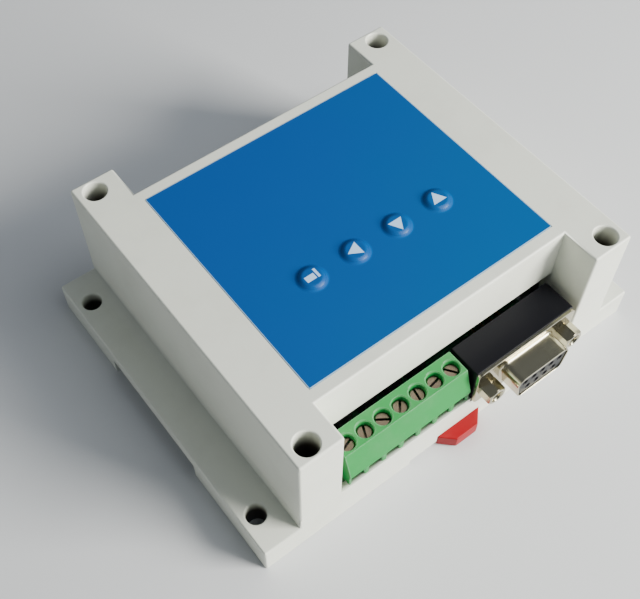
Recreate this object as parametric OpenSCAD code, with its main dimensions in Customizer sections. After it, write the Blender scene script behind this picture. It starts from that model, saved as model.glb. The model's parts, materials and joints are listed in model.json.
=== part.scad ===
// Stepper driver module in a panel or rail housing.
// Origin: centre of the four ear holes, on the underside. X runs across the two bars,
// Y runs along them with the terminals towards -Y, and Z is up. Millimetres.

/* [Housing] */
// Width across the two bars, without the ears
body_x = 95.4; // [95:0.2:125]
// Length along the bars
body_y = 90; // [85:1:120]
// Height from the underside to the top of the bars
body_h = 40; // [38:0.5:60]
// Height of the base, where the cover parts from it
base_h = 13; // [12.6:0.1:14]
// Wall thickness of the cover and the base
wall = 2.2; // [1.6:0.1:3]
// Width of each bar
bar_w = 11.6; // [10.6:0.1:12]
// Depth of the recess in front of and behind the middle deck
recess_d = 10; // [9.4:0.1:14]
// Thickness of the low wall under the terminals
sill_t = 1.8; // [1.4:0.1:1.9]
// Thickness of the base's floor
floor_t = 2.2; // [1.6:0.1:3]
// Height of the tongue that lines the cover up with the base
tongue_h = 1.5; // [1:0.1:3]
// Thickness of the tongue
tongue_t = 1; // [0.8:0.1:1.4]

/* [Ears] */
// Width of each mounting ear
ear_w = 9.8; // [9.6:0.1:16]
// Height of the ears
ear_h = 9; // [8:0.5:12]
// Thickness of the ear's top plate
ear_plate_t = 2.4; // [1.6:0.1:3.2]
// Diameter of the ear holes
ear_hole_d = 5; // [3:0.1:5.6]
// From the outer edge of an ear to its hole
ear_hole_edge = 4; // [3.8:0.1:5]
// From the end of an ear to its hole
ear_hole_end = 9; // [7:0.5:14]

/* [Rail channel] */
// Width of the mounting rail
rail_w = 35; // [35:0.1:36]
// Thickness of the rail's flange
rail_flange_t = 1; // [0.8:0.1:1.2]
// Depth of the channel across the underside
rail_depth = 5.5; // [5:0.1:6]
// Play of the rail in the channel
rail_play = 1; // [0.6:0.1:1.4]
// How far the channel lies behind the middle
rail_shift = 1.75; // [0:0.25:3]
// How far a fixed hook reaches under the rail
hook_reach = 1.6; // [1:0.1:2]
// Width of each fixed hook
hook_w = 10; // [6:1:14]
// Distance between the fixed hooks' middles
hook_spacing = 32; // [24:1:40]

/* [Rail clip] */
// Width of the clip's pull tab
clip_w = 13.2; // [10:0.2:16]
// Width of the tab's end
clip_tip_w = 6.6; // [4:0.2:8]
// Thickness of the clip
clip_t = 3.8; // [3.2:0.1:4]
// How far the tab stands out in front
clip_out = 3.4; // [2:0.1:5]
// How far the clip's nose reaches into the channel
clip_nose = 2.5; // [1.8:0.1:3]
// Thickness of the guide flanges on the clip
clip_flange_t = 2.6; // [2:0.1:2.8]
// Width of the guide flange on each side of the clip
clip_flange_w = 2.6; // [2:0.1:4]
// How far the clip pulls out
clip_travel = 5; // [3:0.5:6]
// Width of the hollow in the sill beside the tab
sill_hollow_w = 8.4; // [4:0.2:12]
// Height of that hollow
sill_hollow_h = 1.8; // [1:0.1:3]

/* [Front panel] */
// Thickness of the printed overlay
overlay_t = 0.35; // [0.2:0.05:0.5]
// Depth of the overlay's bed in the deck
overlay_bed = 0.25; // [0.1:0.05:0.3]
// Margin beside the overlay, at the bars
overlay_side = 1; // [0.6:0.1:3]
// Margin before and behind the overlay
overlay_end = 3.2; // [1:0.1:6]
// Diameter of a key's dome
key_d = 6.3; // [5:0.1:7]
// How far a dome stands out of the overlay
key_rise = 0.8; // [0.4:0.1:1.2]
// Travel of a key
key_travel = 0.5; // [0.3:0.1:0.8]
// Distance between two keys
key_pitch = 12.3; // [10:0.1:14]
// Sideways place of the key row's middle
key_row_x = 0.7; // [-2:0.1:2]
// Place of the key row along the bars
key_row_y = -10; // [-14:0.5:0]
// Side of a key switch
switch_w = 6; // [5:0.1:6.6]
// Height of a key switch
switch_h = 3.5; // [3:0.1:5]
// Diameter of a switch's plunger
plunger_d = 3.2; // [2.6:0.1:3.6]

/* [Boards] */
// Thickness of both circuit boards
board_t = 1.6; // [1:0.1:2]
// Room under the main board, above the rail channel
board_clear = 2.4; // [2:0.1:3]
// Margin from the main board's sides to the bars' inner faces
board_over = 1.4; // [0:0.1:1.8]
// Margin behind the main board
board_rear = 2.8; // [2:0.1:6]
// Length of the key board, across the bars
key_board_x = 58; // [54:1:64]
// Depth of the key board
key_board_y = 18; // [16:1:22]
// Pitch of the board-to-board pins
header_pitch = 2.54; // [2:0.01:2.54]
// Number of board-to-board pins
header_pins = 8; // [4:1:10]
// Height of the socket strip on the main board
header_socket_h = 8.5; // [6:0.5:10]

/* [Screw terminal] */
// Number of ways
ways = 7; // [2:1:7]
// Pitch of the ways
way_pitch = 5.08; // [5:0.01:5.08]
// Height of the block above its board
term_h = 12.5; // [12:0.1:14]
// Gap between the block and the bar
term_gap = 2.3; // [0.5:0.1:2.6]
// Depth of the block from its front ridge to its back
term_depth = 8.6; // [8.4:0.1:9]
// Height of the ridge over the wire entries, above the board
term_ridge_h = 5.6; // [5:0.1:6]
// How far the sloping front leans back
term_lean = 2.3; // [1:0.1:2.5]
// Width of a wire entry
entry_w = 3.6; // [3:0.1:3.8]
// Diameter of a terminal screw's head
term_head_d = 3.8; // [3.4:0.1:4]
// Diameter of a terminal screw's thread
term_thread_d = 2.5; // [2:0.1:2.6]
// Pitch of that thread
term_thread_pitch = 0.45; // [0.35:0.05:0.45]
// Turns from open to closed
term_turns = 5; // [3:0.5:5]

/* [Serial connector] */
// Width of the connector's flange
dsub_w = 30.8; // [30.6:0.1:31]
// Height of the flange
dsub_h = 12.5; // [12:0.1:12.6]
// Thickness of the flange
dsub_flange_t = 0.8; // [0.6:0.1:1]
// From the bar's inner face to the connector's middle
dsub_inset = 18.05; // [17:0.05:18.1]
// Distance between its jackscrews
jack_spacing = 25; // [24.9:0.1:25.1]
// Width of a jackscrew's hexagon across its flats
jack_hex = 4.75; // [4.5:0.05:5]
// Length of a jackscrew's hexagon
jack_len = 4; // [3.6:0.1:6]
// Thread diameter of a jackscrew
jack_thread_d = 2.8; // [2.6:0.1:3]
// Width of the D-shaped shell at its long side
shell_w = 16.3; // [16.2:0.1:17]
// Height of the shell
shell_h = 7.9; // [7.8:0.1:8.4]
// How far the shell stands out of the flange
shell_out = 5.9; // [5.4:0.1:6.2]

/* [Fasteners] */
// Diameter of the deep holes over the cover screws
cover_hole_d = 5.7; // [5.4:0.1:6]
// Head diameter of a cover screw
cover_head_d = 5.2; // [4.8:0.1:5.3]
// Height of a cover screw's head
cover_head_h = 2; // [1.6:0.1:2.6]
// Thread diameter of the cover and board screws
screw_d = 2.9; // [2.5:0.1:3]
// Length of a cover screw's shank
cover_screw_len = 14; // [12:0.5:15]
// Sideways inset of a cover screw from the bar's outer face
cover_screw_side = 4.7; // [4.6:0.1:5]
// Inset of a cover screw from the bar's end
cover_screw_end = 3.8; // [3.8:0.1:4.6]
// Thread diameter of the key board's screws
small_screw_d = 2.2; // [1.8:0.1:2.5]

/* [Clearances] */
// Running clearance round keys, plungers and the clip
slide_gap = 0.15; // [0.1:0.01:0.2]
// Radial clearance of a turning screw in its guide
turn_gap = 0.05; // [0.03:0.01:0.1]
// Radial clearance of a fixed screw in its pilot hole
thread_gap = 0.03; // [0.02:0.01:0.05]
// Clearance of a lead in its board hole
lead_gap = 0.15; // [0.1:0.01:0.25]
// Clearance between pieces that stand side by side
seat_gap = 0.1; // [0.05:0.01:0.2]

/* [Hidden] */
$fn = 48;
eps = 0.01;

// housing
half_x = body_x / 2;
half_y = body_y / 2;
bar_in = half_x - bar_w;
deck_y = half_y - recess_d;
roof_z = body_h - wall;
overall_x = body_x + 2 * ear_w;
tongue_x = half_x - wall - seat_gap;
tongue_y = deck_y - 4;
tongue_root = 2;

// rail channel and clip
roof_t = 2;
channel_w = rail_w + rail_play;
channel_front = rail_shift - channel_w / 2;
channel_back = rail_shift + channel_w / 2;
under_flange_z = rail_depth - rail_flange_t - 0.3;
clip_z = 0.3;
clip_flange_z = clip_z + clip_t - clip_flange_t;
clip_flange_front = -half_y + clip_travel + 4;
clip_slot_w = clip_w + 2 * slide_gap;
clip_way_top = clip_z + clip_t + slide_gap;
clip_way_w = clip_w + 2 * clip_flange_w + 2 * slide_gap;
stop_r = 1.4;
stop_y = -half_y + 15;

// boards
board_z = rail_depth + roof_t + board_clear;
board_top = board_z + board_t;
board_front = -half_y + sill_t + 0.2;
board_back = half_y - wall - board_rear;
board_half_x = bar_in + board_over;
standoff_x = bar_in - 2.6;
standoff_front = -half_y + 15;
standoff_back = deck_y - wall - 3.4;
standoff_r = 3;
standoffs = [for (x = [-standoff_x, standoff_x], y = [standoff_front, standoff_back]) [x, y]];

// front panel and key board
overlay_x = 2 * (bar_in - overlay_side);
overlay_y = 2 * (deck_y - overlay_end);
overlay_top = body_h - overlay_bed + overlay_t;
key_x = [for (i = [0:3]) key_row_x + (i - 1.5) * key_pitch];
cap_bottom = overlay_top - 0.9;
switch_top = roof_z - 1.3;
key_board_top = switch_top - switch_h;
key_board_z = key_board_top - board_t;
key_post_x = key_board_x / 2 - 3;
key_post_y = key_board_y / 2 - 3;
key_post_r = 2.3;
key_post_h = roof_z - key_board_top;
key_posts = [for (x = [-key_post_x, key_post_x], y = [-key_post_y, key_post_y]) [x, key_row_y + y]];
plunger_sink = switch_h / 2 - key_travel;

// board-to-board pins
header_y = key_row_y + key_board_y / 2 - 2;
header_x = [for (i = [0:header_pins - 1]) (i - (header_pins - 1) / 2) * header_pitch];
pin_w = 0.64;

// screw terminal
term_x = -bar_in + term_gap;
term_w = ways * way_pitch;
term_top = board_top + term_h;
term_front = -half_y;
term_back = term_front + term_depth;
term_ridge_z = board_top + term_ridge_h;
way_x = [for (i = [0:ways - 1]) term_x + (i + 0.5) * way_pitch];
term_floor = 0.8;
cell_w = way_pitch - 0.98;
cell_front = term_front + 2.3;
cell_back = term_back - 0.85;
way_y = term_front + 5;
clamp_w = cell_w - 2 * turn_gap - 0.1;
clamp_front = cell_front + slide_gap;
clamp_back = cell_back - slide_gap;
clamp_wall = min(0.5, (clamp_w - term_thread_d) / 2 - turn_gap - 0.1);
clamp_lid = 1;
clamp_z = board_top + term_floor + slide_gap;
clamp_window_h = 4.05;
clamp_top = clamp_z + clamp_wall + clamp_window_h + clamp_lid;
clamp_travel = term_turns * term_thread_pitch;
screw_tip = clamp_top - clamp_lid;
contact_t = 0.8;
contact_z = screw_tip - slide_gap - contact_t;
cell_top = clamp_top + clamp_travel + slide_gap;
head_z = cell_top + 0.6;
head_h = 1.6;
solder_len = 1;
contact_pin_y = cell_back + 0.3;

// serial connector
dsub_x = bar_in - dsub_inset;
dsub_z = board_top + dsub_h / 2;
flange_front = -half_y - 0.1 - dsub_flange_t;
dsub_depth = 9.1;
dsub_back = flange_front + dsub_flange_t + dsub_depth;
shell_r = 2;
shell_t = 0.4;
shell_slope = 10;
contact_rows = [[5, 1.42], [4, -1.42]];
contact_pitch = 2.77;
contact_back = [dsub_back + 1.4, dsub_back + 3.94];
jack_x = [dsub_x - jack_spacing / 2, dsub_x + jack_spacing / 2];
jack_bore_len = jack_len - 0.6;
jack_front = flange_front - jack_len;

// where the terminals and the connector come through
opening_top = board_top + max(term_h, dsub_h) + 0.4;

// fasteners
cover_screws_at = [for (x = [-1, 1], y = [-1, 1])
    [x * (half_x - cover_screw_side), y * (half_y - cover_screw_end)]];
cover_seat = base_h + 5;
cover_boss_r = cover_hole_d / 2 + 1.5;
base_boss_r = 3.7;
pilot_r = screw_d / 2 + thread_gap;
small_pilot_r = small_screw_d / 2 + thread_gap;
ear_holes_at = [for (x = [-1, 1], y = [-1, 1])
    [x * (overall_x / 2 - ear_hole_edge), y * (half_y - ear_hole_end)]];

// colours
cream = [0.86, 0.86, 0.82];
label_blue = [0.05, 0.38, 0.68];
board_green = [0.05, 0.35, 0.2];
terminal_green = [0.33, 0.68, 0.42];
black = [0.06, 0.06, 0.07];
tin = [0.72, 0.71, 0.66];
steel = [0.6, 0.6, 0.6];
brass = [0.75, 0.62, 0.35];
clip_red = [0.8, 0.08, 0.12];
copper = [0.72, 0.42, 0.2];
aluminium = [0.78, 0.79, 0.8];

// ---- shared shapes ----

// A box from one corner to the opposite one
module span(low, high) {
    translate(low) cube(high - low);
}

// A copy on each side of the middle
module both_sides() {
    children();
    mirror([1, 0, 0]) children();
}

// A cross-section in Y and Z, drawn out along X from x0 to x1
module along_x(x0, x1) {
    translate([x0, 0, 0]) rotate([90, 0, 90]) linear_extrude(x1 - x0) children();
}

// A cross-section in X and Z, drawn out along Y from y0 to y1
module along_y(y0, y1) {
    translate([0, y1, 0]) rotate([90, 0, 0]) linear_extrude(y1 - y0) children();
}

// A round bar along Y
module rod_y(x, y0, y1, z, r) {
    translate([x, y0, z]) rotate([-90, 0, 0]) cylinder(r = r, h = y1 - y0);
}

// A pan-head screw that points down, its head's underside at z = 0, with a cross in the head
module pan_screw(head_r, head_h, shank_r, shank_len) {
    difference() {
        union() {
            cylinder(r = head_r, h = head_h);
            translate([0, 0, -shank_len]) cylinder(r = shank_r, h = shank_len + eps);
        }
        for (turn = [0, 90]) rotate([0, 0, turn])
            span([-head_r * 0.6, -0.35, head_h * 0.45], [head_r * 0.6, 0.35, head_h + 1]);
    }
}

// A chip with flat leads along its two long sides; the body is size, standing on the board
module leaded_chip(size, pins, pitch, lead_out, lead_w) {
    span([-size[0] / 2, -size[1] / 2, 0.15], [size[0] / 2, size[1] / 2, size[2]]);
    for (i = [0:pins - 1], side = [0, 180]) rotate([0, 0, side])
        translate([(i - (pins - 1) / 2) * pitch - lead_w / 2, size[1] / 2 - eps, 0]) {
            cube([lead_w, lead_out, 0.2]);
            cube([lead_w, 0.3, size[2] / 2]);
        }
}

// ---- housing ----

// The outline of the base's ears: a plate on walls, with a boss round each hole
module ear() {
    hole_x = overall_x / 2 - ear_hole_edge;
    rim = 1.6;
    boss_r = min(ear_hole_d / 2 + 1.5, ear_hole_edge);
    difference() {
        span([half_x - eps, -half_y, 0], [overall_x / 2, half_y, ear_h]);
        for (y = [[-half_y + rim, channel_front - rim], [channel_back + rim, half_y - rim]])
            difference() {
                span([half_x, y[0], -1], [overall_x / 2 - rim, y[1], ear_h - ear_plate_t]);
                for (end = [-1, 1])
                    translate([hole_x, end * (half_y - ear_hole_end), -2]) cylinder(r = boss_r, h = ear_h);
            }
    }
}

module base_shell() {
    difference() {
        union() {
            span([-half_x, -half_y, 0], [half_x, half_y, base_h]);
            both_sides() ear();
        }
        difference() {
            span([-half_x + wall, -half_y + sill_t, floor_t], [half_x - wall, half_y - wall, base_h + 1]);
            // the bridge over the rail channel
            span([-half_x, channel_front - roof_t, 0], [half_x, channel_back + roof_t, rail_depth + roof_t]);
            // the housing over the clip's way
            span([-clip_way_w / 2 - roof_t, -half_y, 0],
                [clip_way_w / 2 + roof_t, channel_front, clip_way_top + roof_t]);
        }
    }
}

module clip_way() {
    span([-clip_slot_w / 2, -half_y - 1, -1], [clip_slot_w / 2, channel_front + eps, clip_way_top]);
    span([-clip_way_w / 2, -half_y + sill_t, clip_flange_z - slide_gap],
        [clip_way_w / 2, channel_front + eps, clip_way_top]);
}

module rail_hook() {
    along_x(-hook_w / 2, hook_w / 2)
        polygon([[channel_back + eps, 0.4], [channel_back - hook_reach, 2.2],
            [channel_back - hook_reach, under_flange_z], [channel_back + eps, under_flange_z]]);
}

module base() {
    color(cream) difference() {
        union() {
            difference() {
                base_shell();
                span([-overall_x, channel_front, -1], [overall_x, channel_back, rail_depth]);
                clip_way();
            }
            for (x = [-hook_spacing / 2, hook_spacing / 2]) translate([x, 0, 0]) rail_hook();
            // the post that stops the clip
            translate([0, stop_y, clip_z]) cylinder(r = stop_r, h = clip_t + slide_gap + eps);
            // corner bosses for the cover screws, kept inside the walls
            for (p = cover_screws_at) intersection() {
                translate([p[0], p[1], 0]) cylinder(r = base_boss_r, h = base_h);
                span([-half_x, -half_y, 0], [half_x, half_y, base_h]);
            }
            for (p = standoffs) translate([p[0], p[1], 0]) cylinder(r = standoff_r, h = board_z);
            // tongues inside the cover's side walls
            both_sides() span([tongue_x - tongue_t, -tongue_y, base_h - tongue_root],
                [tongue_x, tongue_y, base_h + tongue_h]);
            both_sides() span([tongue_x - tongue_t, -tongue_y, base_h - tongue_root],
                [half_x - wall + eps, tongue_y, base_h]);
        }
        for (p = cover_screws_at)
            translate([p[0], p[1], floor_t]) cylinder(r = pilot_r, h = base_h);
        for (p = standoffs)
            translate([p[0], p[1], floor_t]) cylinder(r = pilot_r, h = board_z);
        for (p = ear_holes_at)
            translate([p[0], p[1], -1]) cylinder(r = ear_hole_d / 2, h = ear_h + 2);
        // the connector sits down into the sill
        span([dsub_x - dsub_w / 2 - seat_gap, -half_y - 1, board_top - seat_gap],
            [dsub_x + dsub_w / 2 + seat_gap, -half_y + sill_t + 1, base_h + 1]);
        // the hollow in the sill beside the clip's tab
        span([-clip_slot_w / 2 - sill_hollow_w, -half_y - 1, -1],
            [-clip_slot_w / 2 + eps, -half_y + sill_t - 0.6, sill_hollow_h]);
    }
}

module cover_outline() {
    both_sides() span([bar_in, -half_y, base_h], [half_x, half_y, body_h]);
    span([-bar_in - eps, -deck_y, base_h], [bar_in + eps, deck_y, body_h]);
    span([-bar_in - eps, deck_y - eps, base_h], [bar_in + eps, half_y, base_h + wall]);
}

module cover_hollow() {
    span([-half_x + wall, -deck_y + wall, base_h - 1], [half_x - wall, deck_y - wall, roof_z]);
    both_sides() span([bar_in + wall, -half_y + wall, base_h - 1], [half_x - wall, half_y - wall, roof_z]);
    // the front opening, under the deck's front wall
    span([-bar_in, -deck_y - 1, base_h - 1], [bar_in, -deck_y + wall + 1, opening_top]);
}

module cover() {
    color(cream) difference() {
        union() {
            difference() {
                cover_outline();
                cover_hollow();
            }
            for (p = cover_screws_at) intersection() {
                translate([p[0], p[1], base_h]) cylinder(r = cover_boss_r, h = body_h - base_h);
                both_sides() span([bar_in, -half_y, base_h], [half_x, half_y, body_h]);
            }
            for (p = key_posts)
                translate([p[0], p[1], key_board_top]) cylinder(r = key_post_r, h = key_post_h + eps);
        }
        for (p = cover_screws_at) {
            translate([p[0], p[1], cover_seat]) cylinder(r = cover_hole_d / 2, h = body_h);
            translate([p[0], p[1], base_h - 1]) cylinder(r = screw_d / 2 + 0.2, h = body_h / 2);
        }
        for (p = key_posts)
            translate([p[0], p[1], key_board_top - 1]) cylinder(r = small_pilot_r, h = key_post_h);
        for (x = key_x)
            translate([x, key_row_y, roof_z - 1]) cylinder(r = key_d / 2 + slide_gap, h = wall + 2);
        span([-overlay_x / 2 - seat_gap, -overlay_y / 2 - seat_gap, body_h - overlay_bed],
            [overlay_x / 2 + seat_gap, overlay_y / 2 + seat_gap, body_h + 1]);
    }
}

module cover_screws() {
    color(steel) for (p = cover_screws_at)
        translate([p[0], p[1], cover_seat])
            pan_screw(cover_head_d / 2, cover_head_h, screw_d / 2, cover_screw_len);
}

// ---- front panel ----

module label_overlay() {
    color(label_blue) difference() {
        span([-overlay_x / 2, -overlay_y / 2, body_h - overlay_bed],
            [overlay_x / 2, overlay_y / 2, overlay_top]);
        for (x = key_x)
            translate([x, key_row_y, body_h - 1]) cylinder(r = key_d / 2 + slide_gap, h = 2);
    }
}

// One key's dome: a slice of a large ball on a short barrel
module key_cap(i) {
    dome_r = (pow(key_d / 2, 2) + pow(key_rise, 2)) / (2 * key_rise);
    color(label_blue) translate([key_x[i], key_row_y, 0]) intersection() {
        translate([0, 0, cap_bottom]) cylinder(r = key_d / 2, h = key_rise + 2);
        translate([0, 0, overlay_top + key_rise - dome_r]) sphere(r = dome_r, $fn = 96);
    }
}

// One switch's plunger, from inside its body to the underside of the key
module plunger(i) {
    color(black) translate([key_x[i], key_row_y, switch_top - plunger_sink])
        cylinder(r = plunger_d / 2, h = cap_bottom - switch_top + plunger_sink);
}

module key_switches() {
    leg_w = 0.7;
    color(steel) for (x = key_x) translate([x, key_row_y, key_board_top]) {
        difference() {
            span([-switch_w / 2, -switch_w / 2, 0], [switch_w / 2, switch_w / 2, switch_h]);
            translate([0, 0, switch_h / 2]) cylinder(r = plunger_d / 2 + slide_gap, h = switch_h);
        }
        for (side = [-1, 1], end = [-1, 1])
            translate([side * 2.2 - leg_w / 2, end * (switch_w / 2 + 0.6) - 0.6, 0]) cube([leg_w, 1.2, 0.3]);
    }
}

module keypad_board() {
    color(board_green) difference() {
        span([-key_board_x / 2, key_row_y - key_board_y / 2, key_board_z],
            [key_board_x / 2, key_row_y + key_board_y / 2, key_board_top]);
        for (p = key_posts)
            translate([p[0], p[1], key_board_z - 1]) cylinder(r = small_screw_d / 2 + 0.2, h = board_t + 2);
        for (x = header_x)
            translate([x, header_y, key_board_z - 1]) cylinder(r = pin_w * 0.71 + lead_gap, h = board_t + 2);
    }
}

module keypad_screws() {
    color(steel) for (p = key_posts)
        translate([p[0], p[1], key_board_z]) rotate([180, 0, 0])
            pan_screw(2, 1.5, small_screw_d / 2, board_t + 3.6);
}

// The long pins that join the two boards, with their plastic strip under the key board
module header_pins_strip() {
    strip_h = 2.5;
    pin_top = key_board_top + 0.8;
    pin_foot = board_top + 2.5;
    strip_x = header_pins * header_pitch / 2;
    color(brass) for (x = header_x)
        span([x - pin_w / 2, header_y - pin_w / 2, pin_foot], [x + pin_w / 2, header_y + pin_w / 2, pin_top]);
    color(black) difference() {
        span([-strip_x, header_y - header_pitch / 2, key_board_z - strip_h],
            [strip_x, header_y + header_pitch / 2, key_board_z]);
        for (x = header_x)
            span([x - pin_w / 2, header_y - pin_w / 2, key_board_z - strip_h - 1],
                [x + pin_w / 2, header_y + pin_w / 2, key_board_z + 1]);
    }
}

module header_socket() {
    strip_x = header_pins * header_pitch / 2 + 0.4;
    mouth = pin_w / 2 + 0.1;
    color(black) difference() {
        span([-strip_x, header_y - header_pitch / 2, board_top],
            [strip_x, header_y + header_pitch / 2, board_top + header_socket_h]);
        for (x = header_x)
            span([x - mouth, header_y - mouth, board_top + 1.5],
                [x + mouth, header_y + mouth, board_top + header_socket_h + 1]);
    }
}

// ---- main board ----

module main_board() {
    color(board_green) difference() {
        span([-board_half_x, board_front, board_z], [board_half_x, board_back, board_top]);
        for (p = standoffs)
            translate([p[0], p[1], board_z - 1]) cylinder(r = screw_d / 2 + 0.2, h = board_t + 2);
        for (x = way_x)
            translate([x, contact_pin_y, board_z - 1]) cylinder(r = 0.56 + lead_gap, h = board_t + 2);
        for (row = [0, 1], i = [0:contact_rows[row][0] - 1])
            translate([dsub_pin_x(row, i), contact_back[row], board_z - 1])
                cylinder(r = 0.3 + lead_gap, h = board_t + 2);
        for (x = jack_x)
            translate([x, dsub_back - 2, board_z - 1]) cylinder(r = 1.5 + lead_gap, h = board_t + 2);
    }
}

module board_screws() {
    color(steel) for (p = standoffs)
        translate([p[0], p[1], board_top]) pan_screw(2.7, 1.9, screw_d / 2, board_t + 5);
}

// ---- screw terminal ----

module terminal_housing() {
    ridge = 0.3;
    lip_z = base_h + seat_gap;
    step_y = -half_y + sill_t + seat_gap;
    color(terminal_green) difference() {
        along_x(term_x, term_x + term_w) polygon([
            [term_back, board_top], [step_y, board_top], [step_y, lip_z], [term_front + ridge, lip_z],
            [term_front + ridge, term_ridge_z - 0.5], [term_front, term_ridge_z - 0.3],
            [term_front, term_ridge_z], [term_front + term_lean, term_top], [term_back, term_top]]);
        for (x = way_x) {
            // the cell that the clamp rises in
            span([x - cell_w / 2, cell_front, board_top + term_floor], [x + cell_w / 2, cell_back, cell_top]);
            // the wire entry
            span([x - entry_w / 2, term_front - 1, clamp_z + clamp_wall],
                [x + entry_w / 2, cell_front + eps, contact_z]);
            // the screw's guide and the well over its head
            translate([x, way_y, cell_top - 1]) cylinder(r = term_thread_d / 2 + turn_gap + 0.1, h = 3);
            translate([x, way_y, head_z]) cylinder(r = term_head_d / 2 + 0.15, h = term_h);
            // the seats of the contact's two ends
            span([x - 1.3, cell_front - 0.3, contact_z - 0.05],
                [x + 1.3, cell_back + 0.6, contact_z + contact_t + 0.05]);
            span([x - 0.6, contact_pin_y - 0.35, board_top - 1],
                [x + 0.6, contact_pin_y + 0.3, contact_z + 0.1]);
        }
    }
}

module terminal_contacts() {
    color(tin) for (x = way_x) {
        span([x - 1.25, cell_front - 0.25, contact_z],
            [x + 1.25, contact_pin_y + 0.25, contact_z + contact_t]);
        span([x - 0.5, contact_pin_y - 0.25, board_z - solder_len],
            [x + 0.5, contact_pin_y + 0.25, contact_z + eps]);
    }
}

// A slotted screw that stays at its height while its clamp climbs
module terminal_screw(i) {
    slot_w = 0.6;
    slot_turn = [20, 65, -35, 50, 80, 10, -55];
    color(steel) translate([way_x[i], way_y, 0]) difference() {
        union() {
            translate([0, 0, head_z]) cylinder(r = term_head_d / 2, h = head_h);
            translate([0, 0, screw_tip]) cylinder(r = term_thread_d / 2, h = head_z - screw_tip + eps);
        }
        translate([0, 0, head_z + head_h - 0.8]) rotate([0, 0, slot_turn[i]])
            span([-term_head_d, -slot_w / 2, 0], [term_head_d, slot_w / 2, 2]);
    }
}

// A square ring that rises when its screw is turned, with the threaded hole in its lid
module wire_clamp(i) {
    color(brass) translate([way_x[i], 0, 0]) difference() {
        span([-clamp_w / 2, clamp_front, clamp_z], [clamp_w / 2, clamp_back, clamp_top]);
        span([-clamp_w / 2 + clamp_wall, clamp_front - 1, clamp_z + clamp_wall],
            [clamp_w / 2 - clamp_wall, clamp_back + 1, clamp_top - clamp_lid]);
        translate([0, way_y, clamp_top - clamp_lid - 1]) cylinder(r = term_thread_d / 2 + turn_gap, h = 3);
    }
}

// ---- serial connector ----

// Sideways place of a contact in the connector's two rows
function dsub_pin_x(row, i) = dsub_x + (i - (contact_rows[row][0] - 1) / 2) * contact_pitch;

// The D outline in X and Z: four corner rounds, with the short side below
module dsub_outline(grow) {
    top_x = shell_w / 2 - shell_r + grow;
    low_x = top_x - (shell_h - 2 * shell_r) * tan(shell_slope);
    z_round = shell_h / 2 - shell_r + grow;
    r = shell_r;
    out_x = r * cos(shell_slope);
    drop_z = r * sin(shell_slope);
    polygon([[-top_x, z_round + r], [top_x, z_round + r], [top_x + out_x, z_round - drop_z],
        [low_x + out_x, -z_round - drop_z], [low_x, -z_round - r], [-low_x, -z_round - r],
        [-low_x - out_x, -z_round - drop_z], [-top_x - out_x, z_round - drop_z]]);
    for (side = [-1, 1]) {
        translate([side * top_x, z_round]) circle(r = r);
        translate([side * low_x, -z_round]) circle(r = r);
    }
}

module dsub_shell() {
    color(tin) difference() {
        union() {
            span([dsub_x - dsub_w / 2, flange_front, board_top],
                [dsub_x + dsub_w / 2, flange_front + dsub_flange_t, board_top + dsub_h]);
            translate([dsub_x, 0, dsub_z])
                along_y(flange_front - shell_out, flange_front + eps) dsub_outline(0);
        }
        translate([dsub_x, 0, dsub_z]) along_y(flange_front - shell_out - 1, 0) dsub_outline(-shell_t);
        for (x = jack_x) rod_y(x, flange_front - 1, flange_front + 3, dsub_z, jack_thread_d / 2 + 0.1);
    }
}

module dsub_insert() {
    hole_r = 0.6;
    color(black) difference() {
        translate([dsub_x, 0, dsub_z])
            along_y(flange_front - shell_out + 0.3, flange_front + dsub_flange_t - eps)
                dsub_outline(-shell_t - 0.05);
        for (row = [0, 1], i = [0:contact_rows[row][0] - 1])
            rod_y(dsub_pin_x(row, i), flange_front - shell_out - 1, flange_front + 3,
                dsub_z + contact_rows[row][1], hole_r);
    }
}

module dsub_body() {
    color(black) difference() {
        span([dsub_x - dsub_w / 2, flange_front + dsub_flange_t, board_top],
            [dsub_x + dsub_w / 2, dsub_back, board_top + dsub_h]);
        for (x = jack_x) rod_y(x, flange_front, dsub_back - 3.4, dsub_z, jack_thread_d / 2 + thread_gap);
        for (x = jack_x)
            span([x - 1.6, dsub_back - 3.2, board_top - 1], [x + 1.6, dsub_back - 0.8, board_top + 3]);
        for (row = [0, 1], i = [0:contact_rows[row][0] - 1])
            rod_y(dsub_pin_x(row, i), flange_front, dsub_back + 1, dsub_z + contact_rows[row][1], 0.6);
        // two shallow hollows in the back of the moulding
        for (side = [-1, 1])
            span([dsub_x + side * 11.5 - 2.5, dsub_back - 0.6, board_top + 5],
                [dsub_x + side * 11.5 + 2.5, dsub_back + 1, board_top + dsub_h - 1.5]);
    }
}

// Nine tube contacts, each bent down behind the body and through the board
module dsub_contacts() {
    wire = 0.3;
    color(brass) for (row = [0, 1], i = [0:contact_rows[row][0] - 1]) {
        x = dsub_pin_x(row, i);
        z = dsub_z + contact_rows[row][1];
        difference() {
            rod_y(x, flange_front - shell_out + 0.8, flange_front + 1, z, 0.55);
            rod_y(x, flange_front - shell_out, flange_front, z, 0.4);
        }
        span([x - wire, flange_front + 1 - eps, z - wire], [x + wire, contact_back[row] + wire, z + wire]);
        span([x - wire, contact_back[row] - wire, board_z - solder_len],
            [x + wire, contact_back[row] + wire, z + eps]);
    }
}

module dsub_jackscrews() {
    color(tin) for (x = jack_x) difference() {
        union() {
            translate([x, flange_front, dsub_z]) rotate([90, 30, 0])
                cylinder(r = jack_hex / 2 / cos(30), h = jack_len, $fn = 6);
            rod_y(x, flange_front - eps, dsub_back - 3.5, dsub_z, jack_thread_d / 2);
        }
        rod_y(x, jack_front - 1, jack_front + jack_bore_len, dsub_z, jack_thread_d / 2);
    }
}

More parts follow.
